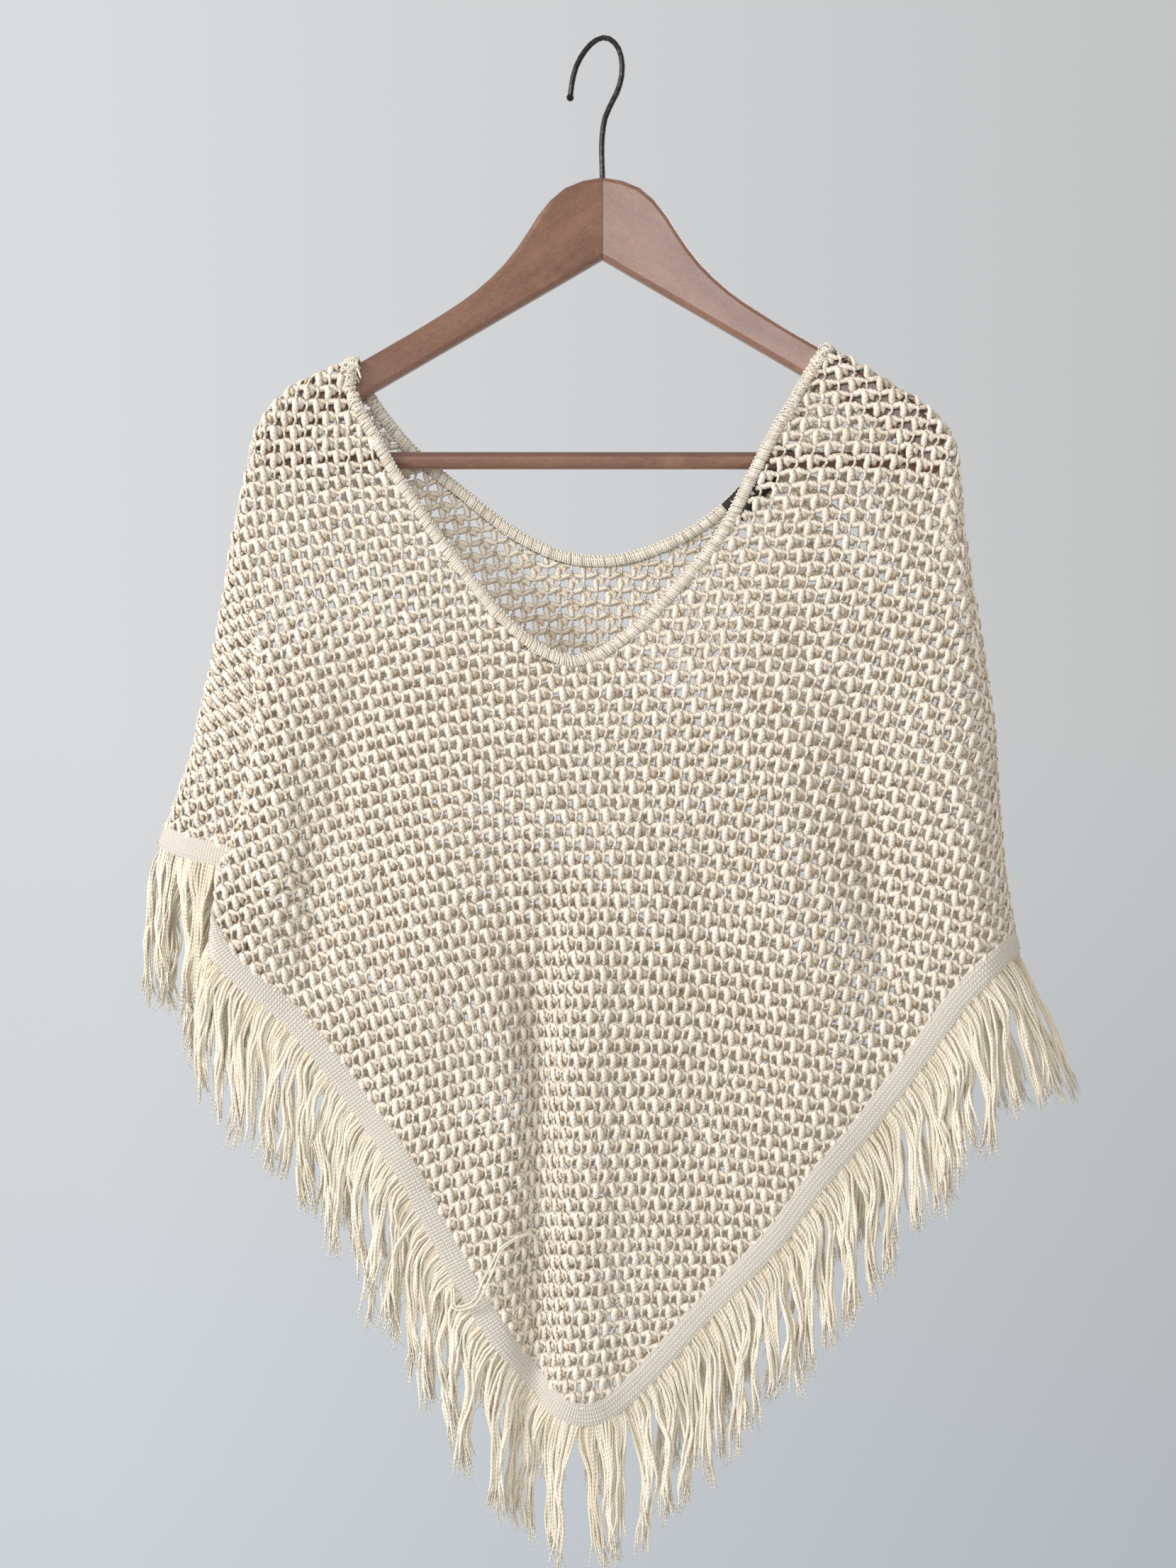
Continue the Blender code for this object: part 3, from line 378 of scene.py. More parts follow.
def share_across(cloth, face, places):
    """Where places lie between a panel's left and right seams, from 0 to 1."""
    left, right = panel_turns(cloth, face, places[..., 1])
    return (places[..., 0] - left) / (right - left)


def kept_inside(cloth, face, places):
    """A line of places held within its panel's seams."""
    left, right = panel_turns(cloth, face, places[:, 1])
    share = np.clip(share_across(cloth, face, places), 0.0, 1.0)
    share[0], share[-1] = 0.0, 1.0
    return np.stack([left + (right - left) * share, places[:, 1]], axis=1)


class Half:
    """One half of the poncho, front (-1) or back (1), with the lines that its pieces share."""

    def __init__(self, cloth, face, hem):
        self.cloth, self.face = cloth, face
        self.word = "front" if face < 0 else "back"
        self.neck = cloth.line(face, FRONT_NECK if face < 0 else BACK_NECK, 1.5)
        length = cloth.run_along(hem)[-1]
        even = length - RIGHT_END_STATIONS[0]
        places = np.linspace(0.0, even, int(round(even / LOCK_PITCH)) + 1)
        self.hem = cloth.spread(hem, np.r_[places, length - np.array(RIGHT_END_STATIONS[1:])] / length)
        self.panel_top = self.kept(cloth.aside(self.neck, BAND_WIDTH + SEAM_GAP, -1))
        self.panel_foot = self.kept(cloth.aside(self.hem, TAPE_WIDTH / 2 + SEAM_GAP, 1))
        self.tape_top = self.kept(cloth.aside(self.hem, TAPE_WIDTH / 2, 1))
        self.tape_foot = self.kept(cloth.aside(self.hem, TAPE_WIDTH / 2, -1))

    def kept(self, places):
        return kept_inside(self.cloth, self.face, places)

    def top_and_foot(self, share):
        """The panel's upper and lower edge at shares across it."""
        ends = []
        for line in (self.panel_top, self.panel_foot):
            across = np.maximum.accumulate(share_across(self.cloth, self.face, line))
            ends.append(np.interp(share, across, line[:, 1]))
        return ends


def both_halves(cloth):
    """The front and the back, with the back's hem carried round to the shifted right seam."""
    front_hem, back_hem = cloth.line(-1, FRONT_HEM, 3.0), cloth.line(1, BACK_HEM, 3.0)
    share = share_across(cloth, -1, front_hem)
    past = share > 1.0
    index = np.arange(len(share))
    at_seam = np.interp([1.0], share, index)
    seam = np.stack([np.interp(at_seam, index, front_hem[:, i]) for i in range(2)], axis=1)
    round_side = np.vstack([seam, front_hem[past][:-1]]) - np.array([4.0, 0.0])
    halves = (
        Half(cloth, -1, np.vstack([front_hem[~past], seam])),
        Half(cloth, 1, np.vstack([back_hem, round_side[::-1]])),
    )
    for name in ("panel_foot", "tape_top", "tape_foot", "panel_top"):
        for end in (0, -1):
            height = np.mean([getattr(half, name)[end, 1] for half in halves])
            for half in halves:
                turns = panel_turns(cloth, half.face, np.array([height]))
                getattr(half, name)[end] = turns[end][0], height
    return halves


# ---------------------------------------------------------------- the net's stitches

# How the knit runs over the front, which the drape pulls askew. The distances are from the front's middle
# round the cloth, and the height. A row tilts down to the right where its tilt is above 0, and a column goes
# to the right on its way down where its lean is. Then the width of a stitch and the height of a row.
FRONT_GRAIN = (  # distance round, height, tilt, lean, stitch, row
    (-400, -480, 10, -10, 6.5, 9), (-300, -400, -10, 5, 6.5, 9), (-300, -540, -15, 5, 6.5, 9),
    (-200, -260, 0, 0, 6.5, 8.5), (-200, -360, -15, 5, 6.5, 8.5), (-200, -460, -20, 10, 6, 8.5),
    (-200, -580, -20, 5, 6, 9), (-140, -320, -5, 5, 6.5, 8.5), (-100, -400, -10, 10, 6.5, 8.5),
    (-100, -500, -10, 5, 6.5, 9), (-100, -640, -10, 0, 5.5, 9), (-60, -760, -10, 0, 5.5, 9),
    (0, -440, 5, -5, 7.5, 8.5), (0, -560, 0, -5, 6.5, 9), (0, -700, 0, -5, 6, 9),
    (0, -820, -5, -5, 6, 8.5), (60, -400, 0, -20, 8, 8.5), (80, -500, 5, -15, 7, 9),
    (80, -620, 5, -10, 6.5, 9), (80, -740, 0, -5, 6, 8.5), (130, -300, -10, -15, 8, 8.5),
    (140, -420, 5, -20, 7.5, 9), (150, -540, 10, -15, 7, 9), (150, -660, 5, -10, 7, 8.5),
    (200, -280, 10, -15, 8, 8.5), (220, -400, 20, -20, 7, 9), (220, -500, 15, -15, 6.5, 9),
    (240, -590, 10, -15, 7, 9),
)
BACK_GRAIN = (
    (-280, -440, -14, 8, 6.4, 8.8), (-280, -520, -16, 8, 6.3, 8.8), (-200, -260, 0, 2, 7, 8),
    (-200, -380, -12, 10, 6.6, 8.6), (-200, -500, -14, 9, 6.4, 9), (-200, -600, -12, 8, 6.3, 9),
    (-100, -300, -6, 8, 7.2, 8.6), (-100, -420, -8, 7, 6.8, 8.8), (-100, -560, -8, 5, 6.4, 9),
    (-100, -700, -7, 3, 6, 9), (0, -350, 0, 0, 7.6, 8.4), (0, -450, 1, -2, 7, 8.8),
    (0, -600, 0, -2, 6.5, 9), (0, -800, -1, 0, 6, 9), (100, -300, 4, -9, 7.4, 8.6),
    (100, -420, 7, -10, 7, 8.8), (100, -560, 8, -8, 6.6, 9), (100, -700, 6, -4, 6.1, 9),
    (200, -280, 6, -6, 7.4, 8.4), (200, -400, 13, -12, 6.9, 8.8), (200, -520, 13, -11, 6.6, 9),
    (270, -420, 16, -12, 6.8, 8.8), (270, -560, 14, -12, 6.6, 9),
)
GRAIN_DEGREE = 5
GRAIN_SCALE = (250.0, 300.0)
GRAIN_MIDDLE = -520.0
SEARCH_HEIGHTS = (-196.0, -884.0, -3.0)
SEARCH_ROUND = (-440.0, 330.0, 3.0)
NEAR_PANEL = 14.0
LONGEST_MOVE = 12.0
USUAL_QUARTER = 250.0  # about the cloth's length in a quarter

# A stitch's strands. The first two columns are shares of the stitch's width and the row's height, right and
# down from the stitch's corner. Then come the distance out of the cloth, the strand's radius, and how much of
# the deeper colour lies there: painted shade on the sunken parts that lie in shadow, and below 0 painted
# light on the raised heads of the thick posts.
CHAIN_UP = (  # right, down, out, radius, deep
    (-1.08, 0.17, 0.2, 1.15, 0.8),
    (-0.72, 0.08, 0.7, 1.90, 0.1),
    (-0.34, -0.04, 0.9, 1.95, 0.0),
    (0.06, -0.12, 0.5, 1.20, 0.4),
)
CHAIN_DOWN = (
    (-1.08, -0.13, 0.2, 1.15, 0.8),
    (-0.70, -0.07, 0.9, 1.90, 0.0),
    (-0.32, 0.05, 0.7, 1.90, 0.1),
    (0.06, 0.15, 0.4, 1.15, 0.4),
)
THIN_POST = (
    (-0.05, 0.00, 0.9, 1.30, 0.0),
    (0.05, 0.20, 0.9, 1.50, 0.0),
    (0.09, 0.44, 0.5, 1.45, 0.3),
    (0.05, 0.70, 0.3, 1.45, 0.5),
    (0.03, 0.98, -0.8, 1.10, 1.0),
)
THICK_POST = (
    (-0.08, -0.18, 1.0, 1.35, 0.1),
    (-0.05, 0.06, 2.3, 2.25, -0.4),
    (-0.01, 0.38, 2.1, 2.20, -0.3),
    (0.02, 0.72, 1.4, 2.10, 0.0),
    (0.04, 1.00, -0.3, 1.30, 0.8),
)
FAN = (
    (0.10, 0.06, 0.6, 1.35, 0.6),
    (0.33, 0.16, 1.0, 2.25, 0.8),
    (0.50, 0.37, 0.6, 2.15, 1.3),
    (0.54, 0.62, -0.9, 1.00, 3.0),
)
STITCH_WANDER = 0.34
STITCH_IN_OUT = 0.12
STITCH_SIZE_SPREAD = 0.06
POINT_SIZE_SPREAD = 0.04
STITCH_UNDER_EDGE = 3.0
NET_SEED = 11


def grain_terms(places):
    """Each power of the place, and its change with each of the place's two numbers."""
    a = places[..., 0] / GRAIN_SCALE[0]
    b = (places[..., 1] - GRAIN_MIDDLE) / GRAIN_SCALE[1]
    powers = [(m, n) for m in range(GRAIN_DEGREE + 1) for n in range(GRAIN_DEGREE + 1 - m) if m + n]
    value = np.stack([a**m * b**n for m, n in powers], axis=-1)
    by_a = np.stack([m * a ** max(m - 1, 0) * b**n / GRAIN_SCALE[0] for m, n in powers], axis=-1)
    by_b = np.stack([n * a**m * b ** max(n - 1, 0) / GRAIN_SCALE[1] for m, n in powers], axis=-1)
    return value, by_a, by_b


class Net:
    """The net's columns and rows on one half, which follow the grain's table as evenly as they can."""

    def __init__(self, half, grain):
        self.half, self.cloth = half, half.cloth
        table = np.array(grain)
        places = table[:, :2]
        tilt, lean = np.radians(table[:, 2]), np.radians(table[:, 3])
        along = np.stack([np.cos(tilt), -np.sin(tilt)], axis=1) * table[:, 4:5]
        down = np.stack([np.sin(lean), -np.cos(lean)], axis=1) * table[:, 5:6]
        _, by_a, by_b = grain_terms(places)
        step_along = by_a * along[:, :1] + by_b * along[:, 1:]
        step_down = by_a * down[:, :1] + by_b * down[:, 1:]
        steps = np.vstack([step_along, step_down])
        calm = 0.002 * np.eye(steps.shape[1])
        ones, zeros = np.ones(len(table)), np.zeros(len(table))
        still = np.zeros(steps.shape[1])
        self.weights = [
            np.linalg.lstsq(np.vstack([steps, calm]), np.r_[wanted, still], rcond=None)[0]
            for wanted in (np.r_[ones, zeros], np.r_[zeros, ones])
        ]
        self.nodes = self.whole_places()

    def count(self, places):
        """The column and row at places, and their changes."""
        value, by_a, by_b = grain_terms(places)
        u, v = (value @ w for w in self.weights)
        slopes = np.stack([[by_a @ w, by_b @ w] for w in self.weights])
        return np.stack([u, v], axis=-1), slopes

    def settle(self, places, wanted, rounds):
        """Places moved until their column and row are the wanted ones."""
        for _ in range(rounds):
            got, s = self.count(places)
            miss = wanted - got
            det = s[0, 0] * s[1, 1] - s[0, 1] * s[1, 0]
            det = np.where(np.abs(det) < 1e-5, 1e-5, det)
            move = np.stack(
                [
                    (miss[..., 0] * s[1, 1] - miss[..., 1] * s[0, 1]) / det,
                    (miss[..., 1] * s[0, 0] - miss[..., 0] * s[1, 0]) / det,
                ],
                axis=-1,
            )
            size = np.linalg.norm(move, axis=-1, keepdims=True)
            places = places + move * np.minimum(1.0, LONGEST_MOVE / np.maximum(size, 1e-9))
        return places

    def whole_places(self):
        """The whole columns and rows with a place on or near the panel, and that place."""
        heights, distances = np.arange(*SEARCH_HEIGHTS), np.arange(*SEARCH_ROUND)
        grid = np.stack(np.meshgrid(distances, heights), axis=-1).reshape(-1, 2)
        grid = grid[self.room(grid) > -NEAR_PANEL]
        got, _ = self.count(grid)
        whole = np.rint(got).astype(int)
        miss = np.linalg.norm(got - whole, axis=1)
        order = np.lexsort((miss, whole[:, 1], whole[:, 0]))
        whole, grid = whole[order], grid[order]
        first = np.r_[True, (np.diff(whole, axis=0) != 0).any(1)]
        return whole[first], self.settle(grid[first], whole[first].astype(float), 4)

    def turns(self, places):
        """Places by distance round the cloth, as turns and heights."""
        cloth, distance, height = self.cloth, places[..., 0], places[..., 1]
        length = [np.interp(-height, -cloth.heights, cloth.lengths[:, i]) for i in range(4)]
        if self.half.face < 0:
            turn = 4.0 + np.where(distance < 0, distance / length[3], distance / length[0])
        else:
            past = distance - length[1]
            turn = np.where(past > 0, 1.0 - past / length[0], 2.0 - distance / length[1])
            turn = np.where(distance < 0, 2.0 - distance / length[2], turn)
        return np.stack([turn, height], axis=-1)

    def room(self, places):
        """How far places lie inside the panel: below 0 outside it."""
        turned = self.turns(places)
        share = share_across(self.cloth, self.half.face, turned)
        width = np.abs(np.subtract(*panel_turns(self.cloth, self.half.face, turned[..., 1])))
        width = width * USUAL_QUARTER
        top, foot = self.half.top_and_foot(share)
        beside = np.minimum(share, 1.0 - share) * width
        return np.minimum(np.minimum(top - turned[..., 1], turned[..., 1] - foot) * 0.75, beside)

    def strands(self, path, parity, seed, bundle, spin, shade_by):
        """One kind of strand in each stitch of some parities."""
        whole, places = self.nodes
        chosen = np.isin(whole.sum(1) % 2, parity)
        whole, places = whole[chosen], places[chosen]
        table = np.array(path)
        wanted = whole[:, None, :] + table[None, :, :2]
        start = np.repeat(places[:, None, :], len(table), axis=1)
        spots = self.settle(start, wanted, 3)
        room = self.room(spots)
        keep = room > -STITCH_UNDER_EDGE
        count = len(whole)
        rng = np.random.default_rng(seed)
        wander = rng.normal(0.0, STITCH_WANDER, (count, len(table), 2))
        spots = spots + wander
        out = table[None, :, 2] * (0.55 + 0.45 * ease(room / 4.0))
        out = out + rng.normal(0.0, STITCH_IN_OUT, keep.shape)
        turned = self.turns(spots)
        points = self.cloth.off(turned, out)
        normals = self.cloth.normals(turned[..., 0], turned[..., 1])
        radii = table[None, :, 3] * rng.normal(1.0, STITCH_SIZE_SPREAD, (count, 1))
        radii = radii * rng.normal(1.0, POINT_SIZE_SPREAD, keep.shape)
        # Each stitch's random tone, plus the table's painted shade on sunken parts and painted light on
        # raised heads.
        shade = rng.normal(0.0, 1.0, (count, 1)) * shade_by + table[None, :, 4]
        bundle.add(points, radii, normals, shade, keep, spin, whole[:, 0])


PAST_ALL = 1e9  # past every strand's sort
PAST_COLUMNS = 1e8  # past every column, so that a seam goes with the outer piece


class Bundle:
    """Strands gathered for one piece: points, radii, lies, shades and which strand they are in."""

    def __init__(self):
        self.parts = []

    def add(self, points, radii, normals, shade=0.0, keep=None, spin=1.0, sort=None):
        count, length = points.shape[:2]
        keep = np.ones((count, length), bool) if keep is None else keep
        sort = np.zeros(count) if sort is None else np.asarray(sort, float)
        self.parts.append(
            dict(
                points=points.reshape(-1, 3),
                radii=(np.zeros((count, length)) + radii).reshape(-1),
                normals=(np.zeros((count, length, 3)) + normals).reshape(-1, 3),
                shade=(np.zeros((count, length)) + shade).reshape(-1),
                keep=keep.reshape(-1),
                spin=np.full(count * length, spin),
                strand=np.repeat(np.arange(count), length),
                sort=np.repeat(sort, length),
            )
        )

    def all(self, name):
        return np.concatenate([part[name] for part in self.parts])

    def mesh(self, name, low=-PAST_ALL, high=PAST_ALL):
        """The strands whose sort lies in a range, as a mesh of edges."""
        offset, strand = 0, []
        for part in self.parts:
            strand.append(part["strand"] + offset)
            offset += part["strand"].max() + 1
        strand = np.concatenate(strand)
        sort = self.all("sort")
        keep = self.all("keep") & (sort >= low) & (sort < high)
        index = np.cumsum(keep) - 1
        joined = keep[:-1] & keep[1:] & (strand[:-1] == strand[1:])
        edges = np.stack([index[:-1][joined], index[1:][joined]], axis=1)
        made = bpy.data.meshes.new(name)
        made.vertices.add(int(keep.sum()))
        made.edges.add(len(edges))
        made.vertices.foreach_set("co", (self.all("points")[keep] * MM).astype(np.float32).ravel())
        made.edges.foreach_set("vertices", edges.astype(np.int32).ravel())
        for word, part, scale in (("thickness", "radii", MM), ("shade", "shade", 1.0), ("spin", "spin", 1.0)):
            values = (self.all(part) * scale)[keep].astype(np.float32)
            made.attributes.new(word, "FLOAT", "POINT").data.foreach_set("value", values)
        lie = made.attributes.new("lie", "FLOAT_VECTOR", "POINT")
        lie.data.foreach_set("vector", self.all("normals")[keep].astype(np.float32).ravel())
        return made


# ---------------------------------------------------------------- yarn by Geometry Nodes


class Tree:
    """A node tree that is built with short calls."""

    def __init__(self, tree):
        self.tree = tree

    def node(self, kind, values=(), **settings):
        made = self.tree.nodes.new(kind)
        for name, value in settings.items():
            setattr(made, name, value)
        for name, value in dict(values).items():
            socket = made.inputs[name]
            if isinstance(value, bpy.types.NodeSocket):
                self.tree.links.new(value, socket)
            else:
                socket.default_value = value
        return made

    def math(self, operation, first, second=0.0):
        kind = "ShaderNodeMath"
        return self.node(kind, {0: first, 1: second}, operation=operation).outputs[0]


def yarn_tree():
    """Turns each path of edges into a strand: spun where its spin is 1, and flat where it is 0."""
    tree = bpy.data.node_groups.new("yarn_along_paths", "GeometryNodeTree")
    sockets = tree.interface
    sockets.new_socket("Geometry", in_out="OUTPUT", socket_type="NodeSocketGeometry")
    for name, kind in (
        ("Paths", "NodeSocketGeometry"),
        ("Sides", "NodeSocketInt"),
        ("Spun Flatness", "NodeSocketFloat"),
        ("Laid Flatness", "NodeSocketFloat"),
        ("Turns per Metre", "NodeSocketFloat"),
        ("Yarn", "NodeSocketMaterial"),
    ):
        sockets.new_socket(name, in_out="INPUT", socket_type=kind)
    t = Tree(tree)
    given = t.node("NodeGroupInput").outputs

    def stored(name, kind="FLOAT"):
        return t.node("GeometryNodeInputNamedAttribute", {"Name": name}, data_type=kind).outputs["Attribute"]

    curve = t.node("GeometryNodeMeshToCurve", {"Mesh": given["Paths"]}).outputs[0]
    curve = t.node(
        "GeometryNodeSetCurveNormal", {"Curve": curve, "Normal": stored("lie", "FLOAT_VECTOR")}, mode="FREE"
    ).outputs[0]
    length = t.node("GeometryNodeSplineParameter").outputs["Length"]
    curve = t.node(
        "GeometryNodeStoreNamedAttribute", {"Geometry": curve, "Name": "along", "Value": length}
    ).outputs[0]
    turns = t.math("MULTIPLY", t.math("MULTIPLY", length, given["Turns per Metre"]), 2 * math.pi)
    tilt = t.math("MULTIPLY", turns, stored("spin"))
    curve = t.node("GeometryNodeSetCurveTilt", {"Curve": curve, "Tilt": tilt}).outputs[0]
    spun = t.math("GREATER_THAN", stored("spin"), 0.5)
    choice = {"Geometry": curve, "Selection": spun}
    parts = t.node("GeometryNodeSeparateGeometry", choice, domain="CURVE").outputs
    joined = t.node("GeometryNodeJoinGeometry")
    for part, flatness in zip(parts, ("Spun Flatness", "Laid Flatness")):
        size = {"Resolution": given["Sides"], "Radius": 1.0}
        ring = t.node("GeometryNodeCurvePrimitiveCircle", size).outputs[0]
        ring = t.node(
            "GeometryNodeStoreNamedAttribute",
            {"Geometry": ring, "Name": "round", "Value": t.node("GeometryNodeInputPosition").outputs[0]},
            data_type="FLOAT_VECTOR",
        ).outputs[0]
        scale = t.node("ShaderNodeCombineXYZ", {0: given[flatness], 1: 1.0, 2: 1.0}).outputs[0]
        ring = t.node("GeometryNodeTransform", {"Geometry": ring, "Scale": scale}).outputs[0]
        wall = t.node(
            "GeometryNodeCurveToMesh",
            {"Curve": part, "Profile Curve": ring, "Scale": stored("thickness"), "Fill Caps": True},
        ).outputs[0]
        tree.links.new(wall, joined.inputs[0])
    shown = t.node("GeometryNodeSetShadeSmooth", {"Geometry": joined.outputs[0]}).outputs[0]
    shown = t.node("GeometryNodeSetMaterial", {"Geometry": shown, "Material": given["Yarn"]}).outputs[0]
    shown = t.node("GeometryNodeRealizeInstances", {"Geometry": shown}).outputs[0]
    t.node("NodeGroupOutput", {"Geometry": shown})
    return tree


def add_object(name, data):
    """A new object in the scene."""
    made = bpy.data.objects.new(name, data)
    bpy.context.scene.collection.objects.link(made)
    return made


def add_mesh(name, shape, covering):
    """A new object with a bmesh's shape, which is freed, and one material."""
    made = bpy.data.meshes.new(name)
    shape.to_mesh(made)
    shape.free()
    made.materials.append(covering)
    return add_object(name, made)


def yarn_piece(name, mesh, yarn, sides=4, spun=0.7, laid=0.38, turns=60.0):
    """A piece of yarn along a mesh's edges, made a plain mesh."""
    paths = add_object(f"{name}_paths", mesh)
    nodes = paths.modifiers.new("yarn", "NODES")
    nodes.node_group = TREES["yarn"]
    values = {
        "Sides": sides,
        "Spun Flatness": spun,
        "Laid Flatness": laid,
        "Turns per Metre": turns,
        "Yarn": yarn,
    }
    for item in nodes.node_group.interface.items_tree:
        if item.in_out == "INPUT" and item.name in values:
            nodes[item.identifier] = values[item.name]
    graph = bpy.context.evaluated_depsgraph_get()
    made = bpy.data.meshes.new_from_object(paths.evaluated_get(graph), depsgraph=graph)
    bpy.data.objects.remove(paths)
    for attribute in list(made.attributes):
        if attribute.name in ("lie", "thickness", "tilt", "spin"):
            made.attributes.remove(attribute)
    made.name = name
    return add_object(name, made)


# ---------------------------------------------------------------- finishes


def finish(name):
    """A new material, its tree and its shader."""
    made = bpy.data.materials.new(name)
    made.use_nodes = True
    return made, Tree(made.node_tree), made.node_tree.nodes["Principled BSDF"]


def attribute(t, name):
    return t.node("ShaderNodeAttribute", attribute_name=name, attribute_type="GEOMETRY").outputs


def object_place(t):
    return t.node("ShaderNodeTexCoord").outputs["Object"]


def noise(t, place, scale, detail=2.0):
    """Cloudy noise from 0 to 1."""
    return t.node("ShaderNodeTexNoise", {"Vector": place, "Scale": scale, "Detail": detail}).outputs["Fac"]


def spread_out(t, value, low, high, first=0.0, last=1.0):
    """The span of a value from low to high, made the span from first to last."""
    spans = {"Value": value, "From Min": low, "From Max": high, "To Min": first, "To Max": last}
    return t.node("ShaderNodeMapRange", spans).outputs[0]


def relief(t, shader, height, strength, depth):
    """Fine relief on a shader, with its depth in millimetres."""
    bump = t.node("ShaderNodeBump", {"Height": height, "Strength": strength, "Distance": depth * MM})
    t.tree.links.new(bump.outputs[0], shader.inputs["Normal"])


def blend_colours(t, share, first, second):
    mix = t.node("ShaderNodeMix", data_type="RGBA")
    for socket, value in ((mix.inputs[0], share), (mix.inputs[6], first), (mix.inputs[7], second)):
        if isinstance(value, bpy.types.NodeSocket):
            t.tree.links.new(value, socket)
        else:
            socket.default_value = (*value, 1.0) if isinstance(value, tuple) else value
    return mix.outputs[2]


def spun_cotton(name, light, deep, ply_pitch, ply_height):
    """Two-ply cotton: the plies wind round the strand, with fine fibres over them."""
    made, t, shader = finish(name)
    ring = t.node("ShaderNodeSeparateXYZ", {0: attribute(t, "round")["Vector"]}).outputs
    along = t.math("MULTIPLY", attribute(t, "along")["Fac"], 2 * math.pi / (ply_pitch * MM))
    squares = [t.math("MULTIPLY", ring[i], ring[i]) for i in range(2)]
    double_cos = t.math("SUBTRACT", squares[0], squares[1])
    double_sin = t.math("MULTIPLY", t.math("MULTIPLY", ring[0], ring[1]), 2.0)
    ply = t.math(
        "ADD",
        t.math("MULTIPLY", double_cos, t.math("COSINE", along)),
        t.math("MULTIPLY", double_sin, t.math("SINE", along)),
    )
    place = object_place(t)
    fibres, clouds = noise(t, place, 1500.0), noise(t, place, 26.0)
    relief(t, shader, t.math("ADD", ply, t.math("MULTIPLY", fibres, 0.9)), 0.75, ply_height)
    # Painted shade: the colour darkens in the grooves between the plies.
    groove = t.math("MULTIPLY", t.math("SUBTRACT", 1.0, ply), 0.15)
    # The strand's shade holds its random tone, with painted shade and painted light from the stitch tables
    # and the fringe's roots.
    shade = t.math("MULTIPLY", attribute(t, "shade")["Fac"], 0.2)
    spread = t.math("ADD", t.math("ADD", groove, shade), t.math("MULTIPLY", clouds, 0.12))
    spread = t.node("ShaderNodeClamp", {"Value": spread}).outputs[0]
    t.tree.links.new(blend_colours(t, spread, light, deep), shader.inputs["Base Color"])
    shader.inputs["Roughness"].default_value = 0.86
    shader.inputs["Specular IOR Level"].default_value = 0.25
    shader.inputs["Sheen Weight"].default_value = 0.25
    shader.inputs["Sheen Roughness"].default_value = 0.5
    return made


def tape_cotton(name, light, deep):
    """Fine jersey tape: lines of small stitches along it. Its map runs along and across it, in metres."""
    made, t, shader = finish(name)
    place = t.node("ShaderNodeSeparateXYZ", {0: t.node("ShaderNodeUVMap", uv_map="lie").outputs[0]}).outputs
    ribs_per_metre = math.pi * TAPE_RIBS / (TAPE_WIDTH * MM)
    crest = t.math("ABSOLUTE", t.math("SINE", t.math("MULTIPLY", place[1], ribs_per_metre)))
    lean = t.math("MULTIPLY", crest, 2.6)
    stitch = t.math("SINE", t.math("ADD", t.math("MULTIPLY", place[0], 2 * math.pi / (2.1 * MM)), lean))
    half_crest = t.math("MULTIPLY", crest, 0.5)
    height = t.math("ADD", t.math("MULTIPLY", stitch, half_crest), half_crest)
    height = t.math("ADD", height, t.math("MULTIPLY", noise(t, object_place(t), 1500.0), 0.5))
    relief(t, shader, height, 0.9, 0.7)
    clouds = t.math("MULTIPLY", noise(t, object_place(t), 40.0, 3.0), 0.2)
    # Painted shade: darker where the stitches' relief is low, between them, with a random cloudy tone over
    # it.
    spread = t.math("ADD", t.math("MULTIPLY", t.math("SUBTRACT", 1.0, height), 0.5), clouds)
    spread = t.node("ShaderNodeClamp", {"Value": spread}).outputs[0]
    t.tree.links.new(blend_colours(t, spread, light, deep), shader.inputs["Base Color"])
    shader.inputs["Roughness"].default_value = 0.85
    shader.inputs["Specular IOR Level"].default_value = 0.25
    shader.inputs["Sheen Weight"].default_value = 0.2
    return made


def woven_black(name):
    """Plain black woven label cloth."""
    made, t, shader = finish(name)
    place = t.node("ShaderNodeSeparateXYZ", {0: t.node("ShaderNodeUVMap", uv_map="lie").outputs[0]}).outputs
    warp = t.math("SINE", t.math("MULTIPLY", place[0], 2 * math.pi / (0.5 * MM)))
    weft = t.math("SINE", t.math("MULTIPLY", place[1], 2 * math.pi / (0.42 * MM)))
    height = t.math("MULTIPLY", warp, weft)
    relief(t, shader, height, 0.5, 0.12)
    # Painted shade and light: the weave is darker where its relief is low and lighter on its crests.
    spread = t.math("MULTIPLY", t.math("ADD", height, 1.0), 0.5)
    colour = blend_colours(t, spread, (0.008, 0.008, 0.009), (0.022, 0.022, 0.025))
    t.tree.links.new(colour, shader.inputs["Base Color"])
    shader.inputs["Roughness"].default_value = 0.6
    shader.inputs["Sheen Weight"].default_value = 0.1
    return made


